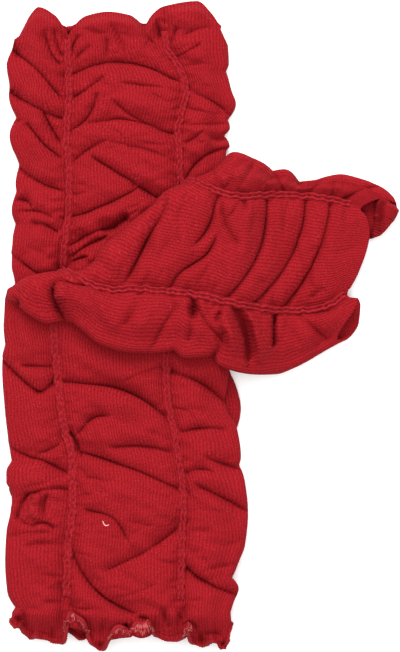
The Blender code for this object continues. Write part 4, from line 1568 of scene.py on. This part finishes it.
def mesh_piece(name: str, points: Grid, faces: list, mat: bpy.types.Material,
               flat: Grid | None = None) -> bpy.types.Object:
    """Makes a piece from points in millimetres.

    Args:
        name: Its name.
        points: Its points.
        faces: Its faces, as indices.
        mat: Its material.
        flat: Where each point is on the flat knit, in millimetres.

    Returns:
        The piece, smooth shaded.
    """
    mesh = bpy.data.meshes.new(name)
    mesh.from_pydata((points.reshape(-1, 3) * MM).tolist(), [], faces)
    if flat is not None:
        layer = mesh.uv_layers.new(name="cloth")
        index = np.empty(len(mesh.loops), np.int32)
        mesh.loops.foreach_get("vertex_index", index)
        layer.data.foreach_set("uv", (flat.reshape(-1, 2)[index] * MM).ravel())
    if flat is not None and points.ndim == 3:
        normals = np.empty(3 * len(mesh.vertices), np.float32)
        mesh.vertices.foreach_get("normal", normals)
        # How deep each point lies in a crease: the mask for the shade painted into the knit's
        # creases.
        depth = crease_shade_mask(points, normals.reshape(points.shape))
        mesh.attributes.new("crease", "FLOAT", "POINT").data.foreach_set("value", depth.ravel())
    mesh.materials.append(mat)
    mesh.shade_smooth()
    obj = bpy.data.objects.new(name, mesh)
    bpy.context.scene.collection.objects.link(obj)
    return obj


def grid_faces(rows: int, cols: int) -> list:
    """Gives the faces of a grid, outside up when its columns run left to right.

    Args:
        rows: How many rows of points it has.
        cols: How many columns.

    Returns:
        The faces, as indices.
    """
    i, j = np.meshgrid(np.arange(rows - 1), np.arange(cols - 1), indexing="ij")
    a = (i * cols + j).ravel()
    return np.stack([a, a + cols, a + cols + 1, a + 1], -1).tolist()


def apply_modifiers(obj: bpy.types.Object) -> None:
    """Applies a piece's modifiers.

    Args:
        obj: The piece.
    """
    bpy.ops.object.select_all(action="DESELECT")
    obj.select_set(True)
    bpy.context.view_layer.objects.active = obj
    for modifier in list(obj.modifiers):
        bpy.ops.object.modifier_apply(modifier=modifier.name)


def keep_above_floor(obj: bpy.types.Object) -> None:
    """Lifts any point of a piece that is below the floor up to it.

    Args:
        obj: The piece.
    """
    points = np.empty(3 * len(obj.data.vertices))
    obj.data.vertices.foreach_get("co", points)
    points[2::3] = np.maximum(points[2::3], 0)
    obj.data.vertices.foreach_set("co", points)


def unit(way: Grid) -> Grid:
    """Gives directions a length of 1."""
    return way / (np.linalg.norm(way, axis=-1, keepdims=True) + 1e-9)


def frames(path: Grid, up: Grid) -> tuple[Grid, Grid]:
    """Gives the directions beside a path and up from it.

    Args:
        path: Its points.
        up: The rough way up at each point.

    Returns:
        Unit vectors beside and up.
    """
    go = unit(np.gradient(path, axis=0))
    beside = unit(np.cross(go, up))
    return beside, np.cross(beside, go)


def thread_rings(line: Grid, up: Grid, radius: Grid | float, sides: int) -> Grid:
    """Gives rings of points round a thread.

    Args:
        line: The points of its middle.
        up: The rough way up at each point.
        radius: Its radius, one for all or one for each point.
        sides: How many points a ring has.

    Returns:
        The rings.
    """
    aside, above = frames(line, up)
    turn = np.linspace(0, 2 * math.pi, sides, endpoint=False)[None, :, None]
    size = np.broadcast_to(radius, len(line))[:, None, None]
    return line[:, None] + (aside[:, None] * np.cos(turn) + above[:, None] * np.sin(turn)) * size


def resampled(path: Grid, step: float) -> tuple[Grid, Grid]:
    """Gives a path's points at even steps, and how far along each is.

    Args:
        path: Its points, with anything else that changes along it in further columns.
        step: The step.

    Returns:
        The rows at even steps, and their distances.
    """
    far = np.r_[0, np.cumsum(np.linalg.norm(np.diff(path[:, :3], axis=0), axis=1))]
    at = np.linspace(0, far[-1], max(4, int(far[-1] / step)))
    return np.stack([np.interp(at, far, column) for column in path.T], -1), at


def tube_mesh(rings: Grid, closed: bool) -> tuple[Grid, list]:
    """Gives the points and faces of a tube through rings of points.

    Args:
        rings: The rings, each of as many points.
        closed: Whether the last ring joins the first. Otherwise the ends are capped.

    Returns:
        The points and the faces.
    """
    count, sides = rings.shape[:2]
    faces = []
    for i in range(count if closed else count - 1):
        a, b = i * sides, (i + 1) % count * sides
        faces += [(a + j, a + (j + 1) % sides, b + (j + 1) % sides, b + j) for j in range(sides)]
    if not closed:
        faces += [tuple(reversed(range(sides))), tuple(range((count - 1) * sides, count * sides))]
    return rings.reshape(-1, 3), faces


@dataclass
class Shirring:
    """A twin row of shirring: a soft raised band of cloth with two rows of stitches on it."""

    tube: LegWarmer
    side: Side
    share: float
    node: str
    span: Pair
    half: float = 1.9  # half the band's width
    row: float = 0.88  # how far a row of stitches is from its middle
    pitch: float = 2.35
    thread: float = 0.2
    wall: float = 1.1
    lift: float = 0.3  # the band's height over the cloth, without its rows
    ridge: float = 1.1  # how high a row of stitches stands, and its half width
    ridge_half: float = 0.52
    dip: float = 0.45  # how deep the middle lies between the rows, and its half width
    dip_half: float = 0.36

    def path(self) -> tuple[Grid, Grid]:
        """Finds the line on the cloth.

        Returns:
            Its points with the way up from each, and how far along each is.
        """
        step, smooth = 0.5, 4
        down = np.arange(*self.span, step)[:, None]
        cols = Columns(self.side, np.zeros(1), np.array([self.share]), np.zeros(1))
        on, off = (self.tube.place(down, cols, lift)[:, 0] for lift in (0.0, 1.0))
        box = np.ones(2 * smooth + 1) / (2 * smooth + 1)
        on = np.stack([np.convolve(np.pad(c, smooth, "edge"), box, "valid") for c in on.T], -1)
        return resampled(np.hstack([on, off - on]), 0.4)

    def height(self, off: Grid, far: Grid) -> Grid:
        """Gives the band's height at a distance from its middle.

        Args:
            off: The distance to the side.
            far: How far along the line.

        Returns:
            The height over the cloth.
        """
        rng = np.random.default_rng(len(self.node))
        tuck = sum(np.sin(2 * math.pi * far / wave + rng.uniform(0, 6)) for wave in (3.1, 4.3, 2.3))
        nick = np.abs(np.sin(math.pi * (far + 0.4 * np.sign(off)) / self.pitch)) ** 0.5 - 0.6
        rows = np.exp(-(((np.abs(off) - self.row) / self.ridge_half) ** 2))
        dimple = np.exp(-((off / self.dip_half) ** 2)) * (self.dip + 0.15 * tuck)
        return (self.lift + (self.ridge + 0.08 * tuck + 0.24 * nick) * rows - dimple
                - ease((np.abs(off) - self.half + 0.55) / 0.4))

    def build(self, knit: bpy.types.Material, thread: bpy.types.Material
              ) -> list[bpy.types.Object]:
        """Builds the band and its stitches, and dresses them.

        Args:
            knit: The band's material.
            thread: The stitches' material.

        Returns:
            The band and the stitches.
        """
        line, far = self.path()
        points = line[:, :3]
        beside, up = frames(points, line[:, 3:])
        rng = np.random.default_rng(len(self.node) + 3)
        waves = [np.sin(2 * math.pi * far / long + rng.uniform(0, 6)) for long in (9.3, 6.1, 3.9)]
        wobble = sum(waves) * 0.15
        verts, faces, flat = self.band(points, beside, up, far, wobble)
        band = mesh_piece(f"{self.node}_band", verts, faces, knit, flat)
        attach(band, "root")
        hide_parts(self.node)
        parts = []
        for off in (-self.row, self.row):
            at = rng.uniform(0.5, 2)
            while at + 1.7 < far[-1]:
                long = rng.uniform(1.35, 1.75)
                parts.append(self.stitch(points, beside, up, far, wobble, off, at, long))
                at += self.pitch + rng.uniform(-0.3, 0.3)
        verts, faces, first = [], [], 0
        for ring in parts:
            p, f = tube_mesh(ring, False)
            faces += [tuple(i + first for i in face) for face in f]
            verts.append(p)
            first += len(p)
        stitches = mesh_piece(f"{self.node}_stitches", np.concatenate(verts), faces, thread)
        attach(stitches, "root")
        log.info("%s: %.0f mm, %d stitches", self.node, far[-1], len(parts))
        return [band, stitches]

    def band(self, points: Grid, beside: Grid, up: Grid, far: Grid, wobble: Grid
             ) -> tuple[Grid, list, Grid]:
        """Shapes the raised band.

        Args:
            points: The band's middle.
            beside: The way beside it.
            up: The way up from it.
            far: How far along each of its points is.
            wobble: How far the band's middle moves to the side.

        Returns:
            Its points, its faces, and where each point is on the flat knit.
        """
        offs = np.linspace(-self.half, self.half, 13)
        under = offs[::-4]
        top = [points + beside * (off + wobble)[:, None]
               + up * self.height(np.full(far.shape, off), far)[:, None] for off in offs]
        low = [points + beside * (off + wobble)[:, None] - up * self.wall for off in under]
        verts, faces = tube_mesh(np.stack(top + low, 1), False)
        flat = np.stack(np.broadcast_arrays(np.r_[offs, under][None, :], far[:, None]), -1)
        return verts, faces, flat

    def stitch(self, points: Grid, beside: Grid, up: Grid, far: Grid, wobble: Grid, off: float,
               at: float, long: float) -> Grid:
        """Makes the rings of one stitch.

        Args:
            points: The band's middle.
            beside: The way beside it.
            up: The way up from it.
            far: How far along each of its points is.
            wobble: How far the band's middle moves to the side.
            off: The stitch's distance from the middle.
            at: Where it starts.
            long: Its length.

        Returns:
            Its rings.
        """
        t = np.linspace(0, 1, 6)
        place = at + long * t

        def read(values: Grid) -> Grid:
            """Reads columns of values at the stitch's places."""
            return np.stack([np.interp(place, far, column) for column in values.T], -1)

        high = self.height(np.full(t.shape, off), place) + 0.16 * np.sin(math.pi * t) - 0.1
        side = off + np.interp(place, far, wobble)
        middle = read(points) + read(beside) * side[:, None] + read(up) * high[:, None]
        size = self.thread * (0.35 + 0.65 * np.sin(math.pi * (0.08 + 0.84 * t)))
        return thread_rings(middle, read(up), size, 6)


@dataclass
class Edging:
    """The overlocked edge of a hem: a wrapped bead, and loops of thread on the wrong side."""

    tube: LegWarmer
    node: str
    grids: dict[Side, Cloth]
    radius: float = 0.8
    wrap: float = 1.15  # the pitch of the bead's wrapping
    thread: float = 0.15
    deep: float = 3.4  # how far the loops reach into the cloth
    patch: Triple = (11, 4, 2.6)  # where they reach further: across, half width and how far

    def rows(self) -> Grid:
        """Gives the last rows of the hem all round, from its edge back into the cloth."""
        return np.stack([np.concatenate([self.grids[side].points[-i][:-1] for side in Side])
                         for i in range(1, 13)])

    def build(self, edging: bpy.types.Material, loops: bpy.types.Material
              ) -> list[bpy.types.Object]:
        """Builds the bead and the loops, and dresses them.

        Args:
            edging: The bead's material.
            loops: The loops' material.

        Returns:
            The bead and the loops.
        """
        rows = self.rows()
        rows = np.concatenate([rows, rows[:, :1]], 1)
        path, far = resampled(np.hstack(list(rows)), 0.3)
        back = path[:-1].reshape(len(path) - 1, -1, 3)
        far = far[:-1]
        go = np.roll(back, -1, 0) - np.roll(back, 1, 0)
        inward = unit(np.cross(np.gradient(back, axis=1), go))
        verts, faces = tube_mesh(self.bead(back, inward, far), True)
        bead = mesh_piece(f"{self.node}_bead", verts, faces, edging)
        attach(bead, "root")
        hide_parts(self.node)
        verts, faces = tube_mesh(self.loops(back, inward, far), False)
        thread = mesh_piece(f"{self.node}_loops", verts, faces, loops)
        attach(thread, "root")
        log.info("%s: %.0f mm round", self.node, far[-1])
        return [bead, thread]

    def bead(self, back: Grid, inward: Grid, far: Grid) -> Grid:
        """Shapes the bead that thread is wrapped round.

        Args:
            back: Points round the hem, each with those behind it in the cloth.
            inward: The way into the cloth at each.
            far: How far round each is.

        Returns:
            The bead's rings.
        """
        out = unit(back[:, 0] - back[:, 3])
        middle = back[:, 0] + inward[:, 0] * WALL / 2 - out * 0.3
        middle[:, 2] = np.maximum(middle[:, 2], self.radius * 1.3)
        turn = np.linspace(0, 2 * math.pi, 10, endpoint=False)[None, :]
        size = self.radius + 0.12 * np.sin(2 * math.pi * far[:, None] / self.wrap + turn)
        return (middle[:, None] + out[:, None] * (np.cos(turn) * size)[..., None]
                + inward[:, :1] * (np.sin(turn) * size * 1.1)[..., None])

    def loops(self, back: Grid, inward: Grid, far: Grid) -> Grid:
        """Shapes the thread that goes to and fro on the wrong side.

        Args:
            back: Points round the hem, each with those behind it in the cloth.
            inward: The way into the cloth at each.
            far: How far round each is.

        Returns:
            The thread's rings.
        """
        gap = np.linalg.norm(back[:, 0] - back[:, 4], axis=1) / 4
        count = int(far[-1] / (self.wrap * 0.3))
        t = np.linspace(0, 1, count * 5)[:-1]
        at = t * (len(back) - 1)
        swing = 0.5 - 0.5 * np.cos(math.pi * t * count)
        i = at.astype(int)
        extra = self.patch[2] * np.exp(-(((back[i, 0, 0] - self.patch[0]) / self.patch[1]) ** 4))
        reach = (self.deep + extra) * (0.78 + 0.22 * np.sin(t * far[-1] * 1.7))
        row = np.clip(swing * reach / gap[i], 0, back.shape[1] - 1.01)
        k, part = row.astype(int), (row % 1)[:, None]
        line = mix(back[i, k], back[i, k + 1], part)
        line = mix(line, mix(back[i + 1, k], back[i + 1, k + 1], part), (at - i)[:, None])
        line = line + inward[i, k] * (WALL + 0.08)
        line[:, 2] = np.maximum(line[:, 2], 2 * self.thread)
        return thread_rings(line, inward[i, k], self.thread, 5)


@dataclass
class LooseEnd:
    """A short, curved end of pale thread that lies loose on the front of a tube."""

    tube: LegWarmer
    name: str
    start: Pair = (224.4, -6.6)  # down and across
    bend: Pair = (228.0, -5.6)
    end: Pair = (226.0, -3.9)
    radius: float = 0.24

    def build(self, thread: bpy.types.Material) -> bpy.types.Object:
        """Builds the thread end and dresses it.

        Args:
            thread: Its material.

        Returns:
            The thread end.
        """
        t = np.linspace(0, 1, 13)[:, None]
        spots = ((1 - t) ** 2 * np.array(self.start) + 2 * t * (1 - t) * np.array(self.bend)
                 + t**2 * np.array(self.end))
        down = spots[None, :, 0]
        left, right = (along(line, down)[0] for line in self.tube.lines)
        share = (spots[:, 1] - left) / (right - left)
        cols = Columns(Side.FRONT, np.zeros(len(t)), share, np.zeros(len(t)))
        on, off = (self.tube.place(down, cols, lift)[0] for lift in (0.8 * self.radius, 1.2))
        size = self.radius * (0.5 + 0.5 * np.sin(math.pi * (0.1 + 0.8 * t[:, 0])))
        verts, faces = tube_mesh(thread_rings(on, off - on, size, 6), False)
        piece = mesh_piece(self.name, verts, faces, thread)
        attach(piece, "root")
        return piece


@dataclass
class Tailor:
    """Builds a leg warmer's gores and dresses them."""

    tube: LegWarmer
    node: str
    knit: bpy.types.Material
    step: float = 0.6
    coarse: float = 1.8  # for the straight one's underside
    pieces: dict[Side, bpy.types.Object] = field(default_factory=dict)

    def gores(self) -> dict[Side, Cloth]:
        """Builds the four gores as pieces of cloth.

        Returns:
            The grid of each gore.
        """
        grids = {}
        for side in Side:
            hidden = side is Side.BACK and isinstance(self.tube, Straight)
            cloth = self.tube.gore(side, self.coarse if hidden else self.step)
            rows, cols = cloth.points.shape[:2]
            piece = mesh_piece(f"{self.tube.name}_{side.value}", cloth.points,
                               grid_faces(rows, cols), self.knit, cloth.flat)
            wall = piece.modifiers.new("Wall", "SOLIDIFY")
            wall.thickness, wall.offset, wall.use_even_offset = WALL * MM, -1, False
            apply_modifiers(piece)
            keep_above_floor(piece)
            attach(piece, "root")
            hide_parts(self.node)
            log.info("%s: %d faces", piece.name, len(piece.data.polygons))
            self.pieces[side] = piece
            grids[side] = cloth
        return grids

    def declare(self, grids: dict[Side, Cloth], trims: dict[Side, list[bpy.types.Object]],
                rests_on: list[str]) -> None:
        """Logs the size of each gore when it is laid out flat.

        Args:
            grids: The grid of each gore.
            trims: The bands, stitches and hem that go with a gore. Not used.
            rests_on: What the gores lie on. Not used.
        """
        for side, piece in self.pieces.items():
            wide, long = grids[side].cut()
            log.info("%s: cut %.0f x %.0f mm", piece.name, wide, long)


@dataclass
class Studio:
    """A pale floor, soft light from the top of the picture, and the camera straight above."""

    centre: Pair = (35.2, 0.0)
    height: float = 1572.0
    lens: float = 200.0
    sensor: float = 36.0
    sky: float = 0.72
    aim: float = 0.03  # what the lamps face: this far to the right of the middle, in metres

    def build(self) -> None:
        """Builds the floor, the lights and the camera."""
        bpy.ops.mesh.primitive_plane_add(size=6, location=(0, 0, 0))
        floor = bpy.context.object
        floor.name = "floor"
        floor.data.materials.append(FloorFinish().make())
        self.lamp("key", (-0.3, 1.5, 1.55), 1.5, 54)
        self.lamp("top", (0.2, -0.1, 2.4), 2.4, 40)
        world = bpy.data.worlds.new("soft light")
        world.use_nodes = True
        sky = world.node_tree.nodes["Background"]
        sky.inputs["Color"].default_value = (1, 1, 1, 1)
        sky.inputs["Strength"].default_value = self.sky
        bpy.context.scene.world = world
        bpy.context.scene.view_settings.view_transform = "Standard"
        data = bpy.data.cameras.new("camera")
        data.lens, data.sensor_width = self.lens, self.sensor
        camera = bpy.data.objects.new("camera", data)
        camera.location = (self.centre[0] * MM, self.centre[1] * MM, self.height * MM)
        bpy.context.scene.collection.objects.link(camera)
        bpy.context.scene.camera = camera

    def lamp(self, name: str, at: Triple, size: float, power: float) -> None:
        """Adds a large soft lamp that faces the leg warmers.

        Args:
            name: Its name.
            at: Where it is, in metres.
            size: How wide it is, in metres.
            power: Its power, in watts.
        """
        data = bpy.data.lights.new(name, "AREA")
        data.size, data.energy = size, power
        lamp = bpy.data.objects.new(name, data)
        lamp.location = at
        way = np.array([self.aim, 0, 0]) - np.array(at)
        lamp.rotation_euler = (math.atan2(math.hypot(way[0], way[1]), -way[2]), 0,
                               math.atan2(way[0], -way[1]) + math.pi)
        bpy.context.scene.collection.objects.link(lamp)


def main() -> None:
    """Builds the pair, piece by piece."""
    logging.basicConfig(level=logging.INFO, format="%(message)s")
    knit = KnitFinish().make()
    under = Straight("under", UNDER_LEFT, UNDER_RIGHT, UNDER_LINES)
    over = Folded("over", OVER_LEFT, OVER_RIGHT, OVER_LINES)
    # The shirred bands' knit is lighter than the rest of the knit: a painted sheen on their raised
    # ridges.
    band = KnitFinish("red shirred knit with painted sheen", ridge=(0.35, 0.015, 0.023),
                      rib_shade_and_dark_tone=(0.22, 0.004, 0.008), rib=0.9, ribbed=0.3).make()
    thread = ThreadFinish().make()
    edging = ThreadFinish("red overlocking", (0.29, 0.008, 0.013), (0.17, 0.003, 0.006)).make()
    loops = ThreadFinish("pale overlocking", (0.53, 0.14, 0.135), (0.34, 0.035, 0.04)).make()
    under_tailor, over_tailor = Tailor(under, "under_body", knit), Tailor(over, "over_body", knit)
    under_grids, over_grids = under_tailor.gores(), over_tailor.gores()
    under_front, over_front, over_back = [], [], []
    for line, trims in (
            (Shirring(under, Side.FRONT, 0, "under_left_line", (16.5, 128)), under_front),
            (Shirring(under, Side.FRONT, 1, "under_right_line", (12.5, 96)), under_front),
            (Shirring(over, Side.FRONT, 0, "over_lower_left_line", (118, 258), 2.2, 1.15),
             over_front),
            (Shirring(over, Side.FRONT, 1, "over_lower_right_line", (128, 259)), over_front),
            (Shirring(over, Side.BACK, 0, "over_upper_top_line", (0, 78)), over_back),
            (Shirring(over, Side.BACK, 1, "over_upper_bottom_line", (-4, 122)), over_back)):
        trims += line.build(band, thread)
    under_front += Edging(under, "under_hem", under_grids).build(edging, loops)
    over_front += Edging(over, "over_hem", over_grids).build(edging, loops)
    pale = ThreadFinish("pale thread", (0.8, 0.5, 0.46), (0.62, 0.3, 0.28)).make()
    over_front.append(LooseEnd(over, "over_loose_thread").build(pale))
    under_tailor.declare(under_grids, {Side.FRONT: under_front}, [])
    over_tailor.declare(over_grids, {Side.FRONT: over_front, Side.BACK: over_back},
                        [under_tailor.pieces[Side.FRONT].name])
    Studio().build()


if __name__ == "__main__":
    main()
